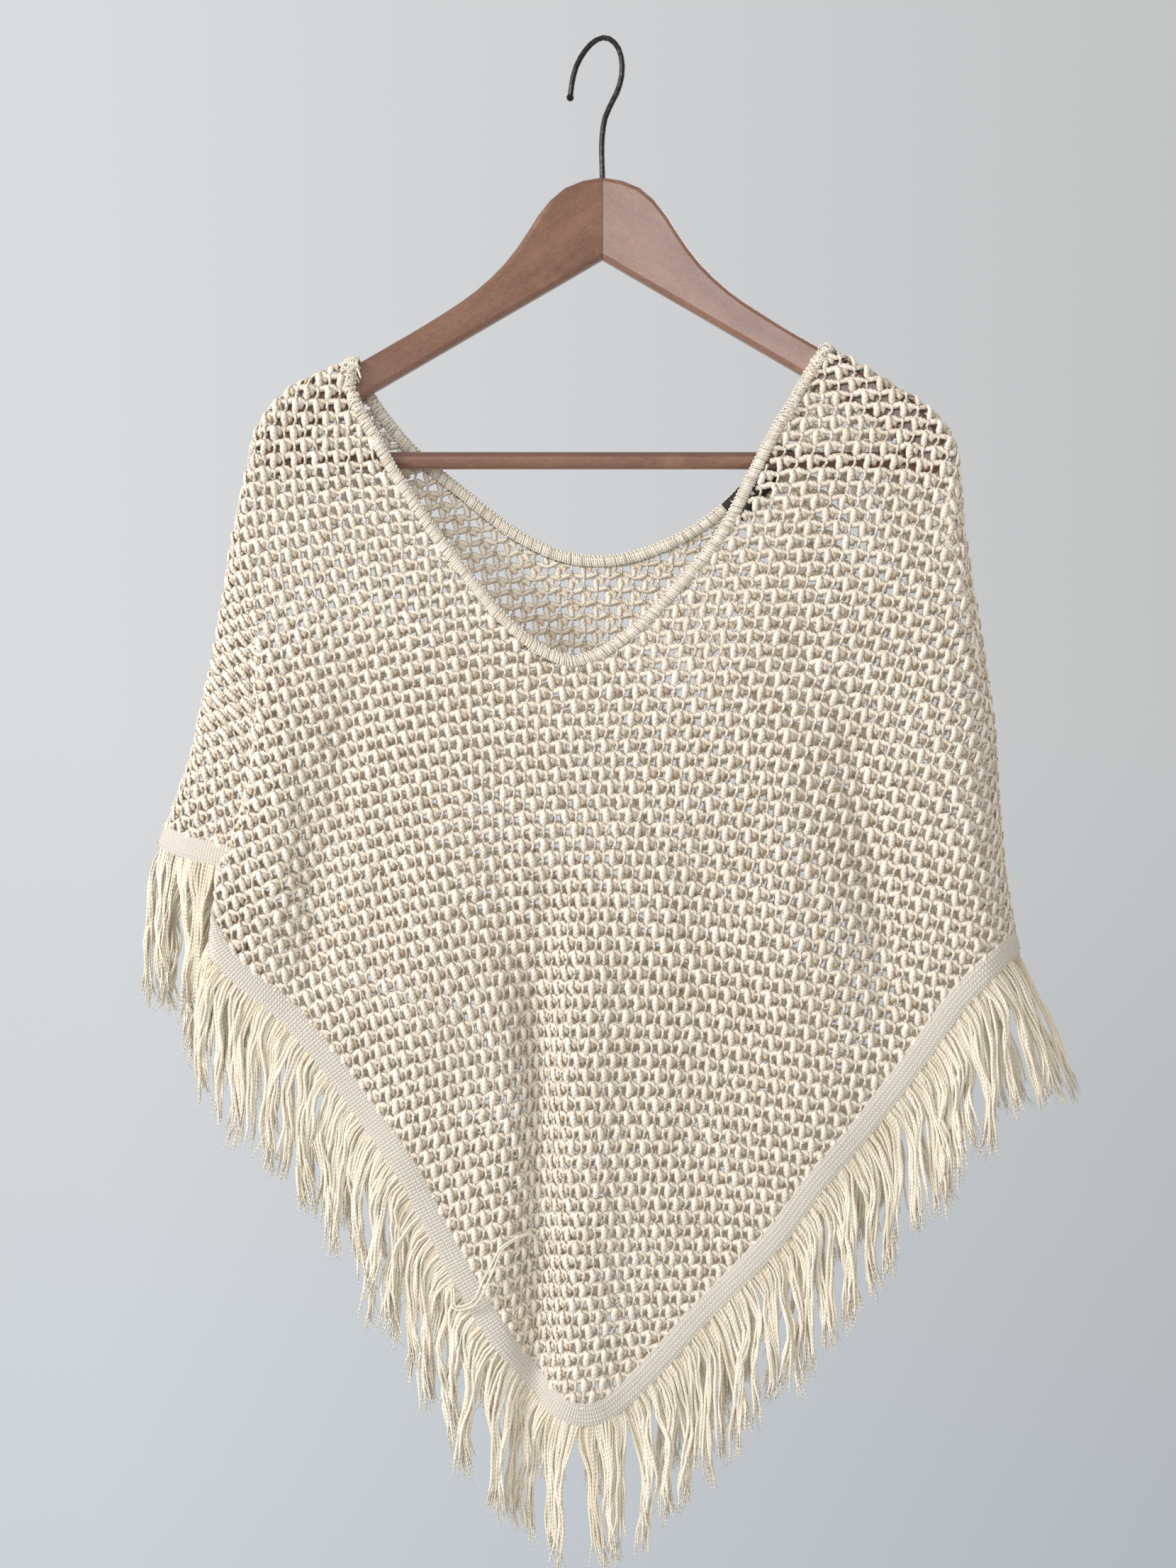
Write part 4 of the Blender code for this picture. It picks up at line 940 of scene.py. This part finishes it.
def lacquered_wood(name, run):
    """Reddish brown lacquered wood with its grain along an arm's run (x, z), and painted shade on faces that
    turn upwards.
    """
    made, t, shader = finish(name)
    lie = {
        "Vector": object_place(t),
        "Rotation": (0.0, -math.atan2(run[1], run[0]), 0.0),
        "Scale": (0.09, 0.016, 0.016),
    }
    turned = t.node("ShaderNodeMapping", lie, vector_type="TEXTURE").outputs[0]
    grain = {"Vector": turned, "Scale": 1.0, "Detail": 6.0, "Roughness": 0.6}
    grain = t.node("ShaderNodeTexNoise", grain).outputs["Fac"]
    pores, wear = noise(t, turned, 24.0, 3.0), noise(t, object_place(t), 34.0, 5.0)
    fine = t.math("ADD", t.math("MULTIPLY", grain, 0.55), t.math("MULTIPLY", pores, 0.45))
    streak = spread_out(t, fine, 0.36, 0.64)
    colour = blend_colours(t, streak, (0.150, 0.066, 0.040), (0.275, 0.135, 0.086))
    worn = t.math("MULTIPLY", spread_out(t, wear, 0.58, 0.70), 0.35)
    colour = blend_colours(t, worn, colour, (0.40, 0.22, 0.14))
    # Painted shade: faces that turn upwards, such as the arms' top edges, are darkened.
    normal = t.node("ShaderNodeNewGeometry").outputs["True Normal"]
    facing = t.node("ShaderNodeSeparateXYZ", {0: normal}).outputs[2]
    painted_top_shade = spread_out(t, facing, 0.25, 0.75, last=0.7)
    colour = blend_colours(t, painted_top_shade, colour, (0.075, 0.026, 0.017))
    t.tree.links.new(colour, shader.inputs["Base Color"])
    relief(t, shader, t.math("ADD", grain, t.math("MULTIPLY", pores, 0.4)), 0.35, 0.4)
    rough = spread_out(t, wear, 0.0, 1.0, 0.28, 0.5)
    t.tree.links.new(rough, shader.inputs["Roughness"])
    shader.inputs["Coat Weight"].default_value = 0.6
    shader.inputs["Coat Roughness"].default_value = 0.28
    return made


def black_wire(name):
    made, t, shader = finish(name)
    specks = noise(t, object_place(t), 420.0, 4.0)
    share = spread_out(t, specks, 0.5, 0.72)
    colour = blend_colours(t, share, (0.012, 0.012, 0.013), (0.06, 0.052, 0.046))
    t.tree.links.new(colour, shader.inputs["Base Color"])
    relief(t, shader, specks, 0.3, 0.1)
    shader.inputs["Roughness"].default_value = 0.38
    shader.inputs["Metallic"].default_value = 0.55
    return made


def dark_glue(name):
    made, t, shader = finish(name)
    specks = noise(t, object_place(t), 300.0, 3.0)
    colour = blend_colours(t, specks, (0.03, 0.014, 0.009), (0.075, 0.036, 0.022))
    t.tree.links.new(colour, shader.inputs["Base Color"])
    shader.inputs["Roughness"].default_value = 0.6
    return made


def plain_paint(name, colour):
    made, _, shader = finish(name)
    shader.inputs["Base Color"].default_value = (*colour, 1.0)
    shader.inputs["Roughness"].default_value = 0.9
    return made


# ---------------------------------------------------------------- pieces


def strip(name, cloth, lines, section, covering):
    """A closed band along lines of places, one for each corner of its section, in order round it.

    Each line has as many places as the others, and the section has each corner's distance across the cloth
    and out of it. The map "lie" runs along the band and across it, in metres.
    """
    corners = [cloth.off(line, np.full(len(line), out)) for line, (_, out) in zip(lines, section)]
    count = len(corners)
    run = cloth.run_along(lines[0])
    around = np.r_[0.0, np.cumsum([abs(section[(k + 1) % count][0] - section[k][0]) for k in range(count)])]
    mesh = bmesh.new()
    rings = [[mesh.verts.new(corner[i] * MM) for corner in corners] for i in range(len(run))]
    lie = mesh.loops.layers.uv.new("lie")
    for i in range(len(run) - 1):
        for k in range(count):
            n = (k + 1) % count
            face = mesh.faces.new((rings[i][k], rings[i][n], rings[i + 1][n], rings[i + 1][k]))
            near, far = (run[i], run[i + 1])
            spots = ((near, around[k]), (near, around[k + 1]), (far, around[k + 1]), (far, around[k]))
            for loop, spot in zip(face.loops, spots):
                loop[lie].uv = (spot[0] * MM, spot[1] * MM)
            face.smooth = True
    for ring in (rings[0], rings[-1]):
        mesh.faces.new(ring)
    bmesh.ops.recalc_face_normals(mesh, faces=mesh.faces)
    return add_mesh(name, mesh, covering)


SEAM_STITCH = 5.0
SEAM_RADIUS = 1.0
SEAM_IN = -0.9
SEAM_ASIDE = 1.9
SEAM_COIL = (0.7, 0.8)  # out of the cloth, and along it


def add_seam(half, end, bundle, sort):
    """The yarn that joins the panels down one side, as two strands that cross over each other."""
    cloth = half.cloth
    top, foot = half.panel_top[-end, 1], half.panel_foot[-end, 1]
    heights = np.arange(top - 1.0, foot + 1.0, -SEAM_STITCH / 4)
    turns = panel_turns(cloth, half.face, heights)[end]
    places = np.stack([turns, heights], axis=1)
    inside = (-1 if end else 1) * (1 if half.face < 0 else -1)
    along, _ = cloth.slopes(places[:, 0], places[:, 1])
    aside = along / np.linalg.norm(along, axis=1, keepdims=True) * inside
    lie = cloth.normals(places[:, 0], places[:, 1])
    phase = np.arange(len(heights)) * math.pi / 2
    for start in (0.0, math.pi):
        points = cloth.off(places, SEAM_IN + SEAM_COIL[0] * np.sin(phase + start))
        points = points + aside * (SEAM_ASIDE + SEAM_COIL[1] * np.cos(phase + start))[:, None]
        bundle.add(points[None], np.full((1, len(heights)), SEAM_RADIUS), lie[None], 0.6, sort=[sort])


MIDDLE_COLUMN = 0


def add_net(half, grain):
    """The knitted net of one half, in two pieces parted at its middle column."""
    net = Net(half, grain)
    bundle = Bundle()
    seed = NET_SEED + half.face
    net.strands(CHAIN_UP, (1,), seed + 30, bundle, 0.0, 0.4)
    net.strands(CHAIN_DOWN, (0,), seed + 40, bundle, 0.0, 0.4)
    net.strands(THIN_POST, (0,), seed, bundle, 1.0, 0.5)
    net.strands(THICK_POST, (1,), seed + 10, bundle, 0.0, 0.4)
    net.strands(FAN, (1,), seed + 20, bundle, 0.0, 0.5)
    for end, sort in ((0, -PAST_COLUMNS), (1, PAST_COLUMNS)):
        add_seam(half, end, bundle, sort)
    made = []
    for k, (low, high) in enumerate(((-PAST_ALL, MIDDLE_COLUMN), (MIDDLE_COLUMN, PAST_ALL))):
        name = f"{half.word}_net_{k + 1}"
        made.append(yarn_piece(name, bundle.mesh(name, low, high), FINISHES["knit"]))
    return made


ROPE_PITCH = 5.2
ROPE_RADIUS = 0.95
ROPE_COIL = 0.85
ROPE_POINTS = 8  # on each turn
ROPE_FROM_EDGE = 1.3
STATION_STEP = 4.0  # along a band or a tape
THREAD_PITCH = 1.25
THREADS_IN_GROUP = 5
GROUP_GAP = 0.5
THREAD_RADIUS = 0.78


def add_neck_band(half):
    """The crocheted edging: a rope edge, and threads laid across the band."""
    cloth, face = half.cloth, half.face
    length = cloth.run_along(half.neck)[-1]
    rng = np.random.default_rng(31 + face)
    body_line = cloth.spread(half.neck, int(length / STATION_STEP))
    low, high = 1.6, BAND_WIDTH - 0.6
    core = [(low, 0.5), (low + 0.8, 1.25), (high - 0.8, 1.25), (high, 0.5)]
    core += [(across, -out) for across, out in core[::-1]]
    lines = [half.kept(cloth.aside(body_line, across, -1)) for across, _ in core]
    body = strip(f"neck_band_{half.word}_core", cloth, lines, core, FINISHES["tape"])
    bundle = Bundle()
    steps = int(length / ROPE_PITCH * ROPE_POINTS)
    rope_line = half.kept(cloth.aside(cloth.spread(half.neck, steps), ROPE_FROM_EDGE, -1))
    centre = cloth.off(rope_line, np.zeros(steps))
    normal = cloth.normals(rope_line[:, 0], rope_line[:, 1])
    tangent = np.gradient(centre, axis=0)
    tangent /= np.linalg.norm(tangent, axis=1, keepdims=True)
    aside = np.cross(tangent, normal)
    angle = np.linspace(0.0, length / ROPE_PITCH * 2 * math.pi, steps)
    for phase in (0.0, math.pi):
        coil = normal * np.cos(angle + phase)[:, None] + aside * np.sin(angle + phase)[:, None]
        points = centre + coil * ROPE_COIL
        bundle.add(points[None], np.full((1, steps), ROPE_RADIUS), coil[None], 0.0)
    starts, place = [], 1.0
    while place < length - 1.0:
        for _ in range(THREADS_IN_GROUP - int(rng.random() < 0.3)):
            starts.append(place)
            place += THREAD_PITCH
        place += GROUP_GAP
    starts = np.array(starts)
    starts = starts[starts < length - 0.8]
    sway = rng.normal(0.0, 0.25, len(starts))
    section = (  # distance from the edge, out, along
        (1.2, 0.6, 0.0),
        (2.2, 1.75, 0.1),
        (4.4, 1.95, 0.5),
        (6.8, 1.7, 0.9),
        (8.1, 0.0, 1.2),
        (6.8, -1.7, 0.9),
        (4.4, -1.95, 0.5),
        (2.2, -1.75, 0.1),
        (1.2, -0.6, 0.0),
    )
    points, normals = [], []
    for depth, out, on in section:
        line = cloth.spread(half.neck, np.clip((starts + on + sway * (depth / 8.0)) / length, 0.0, 1.0))
        line = cloth.aside(line, depth, -1)
        points.append(cloth.off(line, np.full(len(line), out)))
        normals.append(cloth.normals(line[:, 0], line[:, 1]))
    points, normals = np.stack(points, axis=1), np.stack(normals, axis=1)
    radii = THREAD_RADIUS * rng.normal(1.0, 0.08, (len(starts), 1)) * np.ones((1, len(section)))
    bundle.add(points, radii, normals, rng.normal(0.0, 1.0, (len(starts), 1)))
    name = f"neck_edging_{half.word}"
    threads = yarn_piece(name, bundle.mesh(name), FINISHES["edging"], spun=0.85, turns=0.0)
    return body, threads


TAPE_RIBS = 6


def add_tape(half):
    """The jersey tape along the hem, with raised lines along both its faces."""
    cloth = half.cloth
    length = cloth.run_along(half.hem)[-1]
    middle = cloth.spread(half.hem, int(length / STATION_STEP))
    section = []
    across = np.linspace(-1.0, 1.0, 2 * TAPE_RIBS + 1)
    for side in (1, -1):
        for k, share in enumerate(across * side):
            crown = (1.0 - share**4) * 0.75 + 0.25
            rib = 0.45 if k % 2 else -0.25
            section.append((share * TAPE_WIDTH / 2, side * (TAPE_THICK / 2 * crown + rib)))
    lines = [half.kept(cloth.aside(middle, abs(across), math.copysign(1, across))) for across, _ in section]
    return strip(f"hem_tape_{half.word}", cloth, lines, section, FINISHES["tape"])


STRANDS_IN_LOCK = 9
STRAND_POINTS = 11
STRAND_RADIUS = 0.98
CLUMP_PULL = 0.5
LOCK_SWING = 1.6
LOCK_WAVE = (0.9, 2.4)
LOCK_TURNS = (0.8, 1.7)
STRAND_REACH = (0.88, 1.03)
STRAND_LEAN = (0.75, 1.1)
STRAND_IN_OUT = (-1.4, 1.4)
STRAND_WAVE = (0.2, 0.8)
STRAND_TURNS = (0.9, 1.1)
STRAND_SIZE = (0.86, 1.1)
STRAND_SWING = 1.7
FIBRES_AT_END = 2
FIBRE_RADIUS = 0.34
FIBRE_TAPER = (1.5, 1.0, 0.35)
FIBRE_LENGTH = 12.0
FIBRE_REACH = (0.3, 1.0)
FIBRE_SPREAD = 0.14
FIBRE_BEND = 0.16


def add_fringe(half):
    """The twisted strands of fringe, in locks that hang where the solids' locks do."""
    cloth, lower, upper = half.cloth, half.tape_foot, half.tape_top
    picker = random.Random(FRINGE_SEED + half.face)
    rng = np.random.default_rng(51 + half.face)
    outer = cloth.off(lower, np.full(len(lower), TAPE_THICK / 2))
    inner = cloth.off(lower, np.full(len(lower), -TAPE_THICK / 2))
    tape_down = cloth.at(lower[:, 0], lower[:, 1]) - cloth.at(upper[:, 0], upper[:, 1])
    bundle = Bundle()
    share = np.linspace(0.0, 1.0, STRAND_POINTS)
    sway, clump_ends, clump_middle = 0.0, 0, 0.0
    for k in range(len(lower) - 1):
        if k >= clump_ends:
            size = int(rng.integers(1, 4))
            clump_middle, clump_ends = k + (size - 1) / 2, k + size
        if k == 0 or np.linalg.norm(outer[k] - outer[k + 1]) < SHORTEST_ROOT:
            continue
        along = outer[k + 1] - outer[k]
        pitch = np.linalg.norm(along)
        slope = along / pitch
        along = np.array([along[0], along[1], 0.0])
        along /= np.linalg.norm(along)
        inward = inner[k] - outer[k]
        inward[2] = 0.0
        inward /= np.linalg.norm(inward)
        out = tape_down[k] / np.linalg.norm(tape_down[k])
        sway = LOCK_SWAY_KEPT * sway + picker.uniform(-LOCK_SWAY, LOCK_SWAY)
        reach = LOCK_LENGTH * picker.uniform(LOCK_SHORTEST, 1.0)
        root = (outer[k] + outer[k + 1] + inner[k] + inner[k + 1]) / 4 - out * 1.5
        flare = FLARE_REACH * float(ease((root[0] - FLARE_FROM) / (FLARE_FULL - FLARE_FROM)))
        pull = rng.normal(0.0, LOCK_SWING) * share**2
        pull += CLUMP_PULL * pitch * (clump_middle - k) * ease(share / 0.75)
        lock_wave = rng.uniform(*LOCK_WAVE) * ease(share / 0.35)
        lock_turns = rng.uniform(*LOCK_TURNS)
        lock_phase = rng.uniform(0.0, 2 * math.pi, 2)
        for i in range(STRANDS_IN_LOCK):
            run = share * reach * rng.uniform(*STRAND_REACH)
            lean = LOCK_LEAN * (1.0 - np.exp(-run / LOCK_LEAN)) * rng.uniform(*STRAND_LEAN)
            middle = root + out * lean[:, None] - np.array([0.0, 0.0, 1.0]) * (run - lean)[:, None]
            middle = middle + along * (sway * share**2 + pull)[:, None]
            middle = middle + np.array([flare, 0.0, 0.0]) * share[:, None]
            spot = (i + 0.5) / STRANDS_IN_LOCK - 0.5
            middle = middle + slope * (spot * pitch * (1.06 - 0.62 * ease(share / 0.5)))[:, None]
            middle = middle + inward * (rng.uniform(*STRAND_IN_OUT) * (1.0 + 0.7 * share))[:, None]
            own = rng.uniform(*STRAND_WAVE) * ease(share / 0.3)
            own_turns = lock_turns * rng.uniform(*STRAND_TURNS)
            own_phase = rng.uniform(0.0, 2 * math.pi, 2)
            for way, phase, own_start in zip((along, inward), lock_phase, own_phase):
                wave = lock_wave * np.sin(2 * math.pi * own_turns * share + phase)
                wave += own * np.sin(5.0 * math.pi * share + own_start)
                middle = middle + way * wave[:, None]
            middle = middle + along * (rng.normal(0.0, STRAND_SWING) * share**3)[:, None]
            # Painted shade near the root, just below the tape, on top of each strand's random tone.
            shade = rng.normal(0.0, 0.8) + 0.8 * (1.0 - ease(share / 0.2))
            radii = STRAND_RADIUS * rng.uniform(*STRAND_SIZE) * (1.0 - 0.6 * ease((share - 0.86) / 0.14))
            bundle.add(middle[None], radii[None], inward[None, None], shade[None])
            tip, way = middle[-1], middle[-1] - middle[-2]
            way /= np.linalg.norm(way)
            for _ in range(FIBRES_AT_END):
                spread = way + along * rng.normal(0.0, FIBRE_SPREAD) + inward * rng.normal(0.0, FIBRE_SPREAD)
                bent = spread + along * rng.normal(0.0, FIBRE_BEND)
                length = FIBRE_LENGTH * rng.uniform(*FIBRE_REACH)
                fibre = np.stack([tip - way * 5.0, tip + spread * length * 0.5, tip + bent * length])
                radii = FIBRE_RADIUS * np.array([FIBRE_TAPER])
                bundle.add(fibre[None], radii, inward[None, None], -0.5, spin=0.0)
    name = f"fringe_{half.word}"
    return yarn_piece(name, bundle.mesh(name), FINISHES["fringe"], spun=0.9, turns=0.0)


LOOSE_STRAND = (  # across and height in the front plane, and out of the cloth
    (-94.5, -791.0, 3.4),
    (-92.5, -803.0, 5.5),
    (-84.0, -801.5, 6.6),
    (-72.0, -782.0, 6.8),
    (-62.0, -763.0, 6.8),
    (-51.0, -758.5, 6.4),
    (-43.5, -764.0, 5.6),
    (-41.0, -772.0, 4.0),
)


def add_loose_strand(half):
    """The doubled strand of yarn that has slipped over the tape and lies on the front."""
    cloth = half.cloth
    line = smooth_line(LOOSE_STRAND, 1.6)
    turns = np.array([cloth.turn_of(half.face, across, height) for across, height in line[:, :2]])
    places = np.stack([turns, line[:, 1]], axis=1)
    lie = cloth.normals(places[:, 0], places[:, 1])
    tangent = np.gradient(cloth.at(places[:, 0], places[:, 1]), axis=0)
    aside = np.cross(lie, tangent / np.linalg.norm(tangent, axis=1, keepdims=True))
    bundle = Bundle()
    run = np.linspace(0.0, 1.0, len(line))
    for sign in (-1, 1):
        apart = sign * (0.75 + 0.9 * np.sin(math.pi * run) * np.sin(5.0 * run))
        points = cloth.off(places, line[:, 2]) + aside * apart[:, None]
        bundle.add(points[None], np.full((1, len(line)), 0.72), lie[None], -0.4)
    name = "loose_strand"
    return yarn_piece(name, bundle.mesh(name), FINISHES["fringe"], spun=0.9, turns=0.0)


LABEL_STATIONS = 27
LABEL_HALF_THICK = 0.35
LABEL_THREAD_OUT = 0.45
LABEL_STITCH_BELOW_EDGE = 4.5
LABEL_TICK_DEPTHS = (2.6, 4.0, 5.4, 6.8)
LABEL_FOLD_IN = 3  # stations from each end to the stitching
GLUE_INSET = 0.7
GLUE_THICK = 0.24


def add_label(half):
    """The plain black label on the inside of the back neck, with its white stitching."""
    cloth = half.cloth
    points = cloth.at(half.neck[:, 0], half.neck[:, 1])
    run = cloth.run_along(half.neck)
    right = points[:, 2] > points[:, 2].min() - 1.0
    right &= np.arange(len(points)) >= int(points[:, 2].argmin())
    start = np.interp(LABEL_FROM, points[right, 0], run[right])
    edge = cloth.spread(half.neck, (start + np.linspace(0.0, LABEL_LENGTH, LABEL_STATIONS)) / run[-1])
    middle = -(BAND_THICK / 2 + SEAM_GAP + LABEL_THICK / 2)
    depths = (LABEL_BELOW_EDGE, LABEL_WIDTH * 0.25, LABEL_WIDTH * 0.5, LABEL_WIDTH * 0.75, LABEL_WIDTH)
    section = [(depth, middle + LABEL_HALF_THICK) for depth in depths]
    section += [(depth, middle - LABEL_HALF_THICK) for depth in depths[::-1]]
    lines = [cloth.aside(edge, across, -1) for across, _ in section]
    plate = strip("neck_label_cloth", cloth, lines, section, FINISHES["label"])
    bundle = Bundle()
    out = middle - LABEL_THREAD_OUT
    row = cloth.aside(edge[LABEL_FOLD_IN:-LABEL_FOLD_IN], LABEL_STITCH_BELOW_EDGE, -1)
    points = cloth.off(row, out + 0.12 * np.cos(np.arange(len(row)) * math.pi))
    lie = cloth.normals(row[:, 0], row[:, 1])
    bundle.add(points[None], np.full((1, len(row)), 0.32), lie[None], -0.5)
    for end in (LABEL_FOLD_IN, -LABEL_FOLD_IN - 1):
        tick = np.stack([cloth.aside(edge, depth, -1)[end] for depth in LABEL_TICK_DEPTHS])
        lie = cloth.normals(tick[:, 0], tick[:, 1])
        bundle.add(cloth.off(tick, np.full(4, out))[None], np.full((1, 4), 0.34), lie[None], -0.5)
    name = "neck_label_stitches"
    return plate, yarn_piece(name, bundle.mesh(name), FINISHES["thread"], turns=0.0)


# ---------------------------------------------------------------- the scene

TREES = {"yarn": yarn_tree()}
# Each yarn's second, deeper colour takes its painted shade as well as its random darker tone.
FINISHES = {
    "knit": spun_cotton("cotton_knit_yarn", (0.92, 0.86, 0.765), (0.56, 0.41, 0.245), 2.6, 0.24),
    "edging": spun_cotton("cotton_edging_yarn", (0.90, 0.85, 0.765), (0.60, 0.48, 0.33), 2.0, 0.22),
    "fringe": spun_cotton("cotton_fringe_yarn", (0.95, 0.90, 0.78), (0.68, 0.55, 0.36), 2.6, 0.26),
    "tape": tape_cotton("cotton_jersey_tape", (0.86, 0.815, 0.74), (0.47, 0.41, 0.32)),
    "label": woven_black("black_label_weave"),
    "thread": spun_cotton("white_sewing_thread", (0.86, 0.86, 0.85), (0.55, 0.55, 0.54), 0.9, 0.06),
    "wire": black_wire("black_wire"),
    "glue": dark_glue("dark_glue"),
}


def add_glue_line():
    """The dark glue line between the hanger's two halves, set in a little from their edges."""
    places = np.array([point.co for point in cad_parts["hanger_arm_left"].data.vertices])
    joint = places[places[:, 0] > places[:, 0].max() - 0.2 * MM]
    low, high = joint.min(0) + GLUE_INSET * MM, joint.max(0) - GLUE_INSET * MM
    middle = (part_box("hanger_arm_left")[1][0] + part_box("hanger_arm_right")[0][0]) / 2
    mesh = bmesh.new()
    bmesh.ops.create_cube(mesh, size=1.0)
    size = (GLUE_THICK * MM, high[1] - low[1], high[2] - low[2])
    bmesh.ops.scale(mesh, verts=mesh.verts, vec=size)
    bmesh.ops.bevel(mesh, geom=mesh.edges[:], offset=0.05 * MM, segments=1, affect="EDGES")
    bmesh.ops.translate(mesh, verts=mesh.verts, vec=(middle, (low[1] + high[1]) / 2, (low[2] + high[2]) / 2))
    return add_mesh("hanger_glue_line", mesh, FINISHES["glue"])


def use_finish(node, covering):
    """A better material on a solid that stays."""
    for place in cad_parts[node].material_slots:
        place.material = covering


def dress():
    """Every piece of the poncho and the glue line, each attached to its body, with the solids that they stand
    for hidden.
    """
    front, back = both_halves(Cloth())
    for half, grain in ((front, FRONT_GRAIN), (back, BACK_GRAIN)):
        nets = add_net(half, grain)
        body, threads = add_neck_band(half)
        tape = add_tape(half)
        fringe = add_fringe(half)
        if half is front:
            loose = add_loose_strand(front)
            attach(loose, "root")
        for piece in nets:
            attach(piece, "root")
            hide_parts(f"{half.word}_panel")
        for piece in (body, threads):
            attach(piece, "root")
            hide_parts(f"neck_band_{half.word}")
        for piece in (tape, fringe):
            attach(piece, "root")
            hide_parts(f"hem_fringe_{half.word}")
    glue = add_glue_line()
    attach(glue, "root")
    plate, thread = add_label(back)
    for piece in (plate, thread):
        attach(piece, "root")
        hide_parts("neck_label")


def light_and_camera():
    """A window's light from the left, two weaker lamps, a blurred wall with painted light, and the camera."""
    camera = add_object("camera", bpy.data.cameras.new("camera"))
    camera.data.lens = 68.0
    camera.data.sensor_width = 36.0
    camera.data.clip_start, camera.data.clip_end = 0.05, 30.0
    camera.location = (-0.0093, -1.9, -0.477)
    camera.rotation_euler = (math.pi / 2, 0.0, 0.0)
    bpy.context.scene.camera = camera

    def area(name, place, aim, size, power, colour, gloss=1.0):
        lamp = bpy.data.lights.new(name, "AREA")
        lamp.shape, lamp.size, lamp.energy, lamp.color = "DISK", size, power, colour
        lamp.specular_factor = gloss
        made = add_object(name, lamp)
        made.location = place
        made.rotation_euler = (Vector(aim) - Vector(place)).to_track_quat("-Z", "Y").to_euler()

    area("window", (-2.55, -1.65, 0.6), (0.0, 0.0, -0.5), 1.1, 70.0, (1.0, 0.99, 0.98))
    area("fill", (-0.6, -2.5, 0.15), (0.0, 0.0, -0.4), 1.0, 15.0, (0.90, 0.95, 1.0))
    area("rear", (1.2, 2.6, 0.6), (0.0, 0.0, -0.5), 1.6, 26.0, (1.0, 1.0, 1.0), gloss=0.1)
    bpy.context.scene.view_settings.view_transform = "Standard"
    world = bpy.data.worlds.new("room")
    world.use_nodes = True
    bpy.context.scene.world = world
    t = Tree(world.node_tree)
    lit = world.node_tree.nodes["Background"]
    lit.inputs["Color"].default_value = (0.68, 0.65, 0.61, 1.0)
    lit.inputs["Strength"].default_value = 0.9
    # The backdrop that the camera sees has painted light: brighter at the upper left, where the window's
    # light falls, darker to the right and towards the bottom, where it turns bluish.
    way = t.node("ShaderNodeSeparateXYZ", {0: t.node("ShaderNodeTexCoord").outputs["Generated"]}).outputs
    across, low = spread_out(t, way[0], -0.16, 0.22), spread_out(t, way[2], -0.26, 0.02)
    upper = blend_colours(t, across, (0.70, 0.71, 0.725), (0.535, 0.54, 0.545))
    lower = blend_colours(t, across, (0.60, 0.645, 0.685), (0.435, 0.465, 0.495))
    wall = t.node("ShaderNodeBackground", {"Color": blend_colours(t, low, lower, upper)}).outputs[0]
    seen = t.node("ShaderNodeLightPath").outputs["Is Camera Ray"]
    mixed = t.node("ShaderNodeMixShader", {0: seen, 1: lit.outputs[0], 2: wall}).outputs[0]
    t.tree.links.new(mixed, t.tree.nodes["World Output"].inputs[0])


def stage():
    """A pale round floor below the poncho, which isn't part of it."""
    disc = bmesh.new()
    bmesh.ops.create_circle(disc, cap_ends=True, radius=1.3, segments=96)
    bmesh.ops.translate(disc, verts=disc.verts, vec=(0.0, 0.0, -1.35))
    floor = add_mesh("floor", disc, plain_paint("pale_floor", (0.62, 0.63, 0.65)))


GRAIN_RUNS = {  # which way each wooden piece's grain runs: x, z
    "hanger_arm_left": (-0.84, -0.54),
    "hanger_arm_right": (0.84, -0.54),
    "hanger_bar": (1.0, 0.0),
}

dress()
for node, run in GRAIN_RUNS.items():
    use_finish(node, lacquered_wood(f"{node}_wood", run))
use_finish("hanger_hook", FINISHES["wire"])
light_and_camera()
stage()
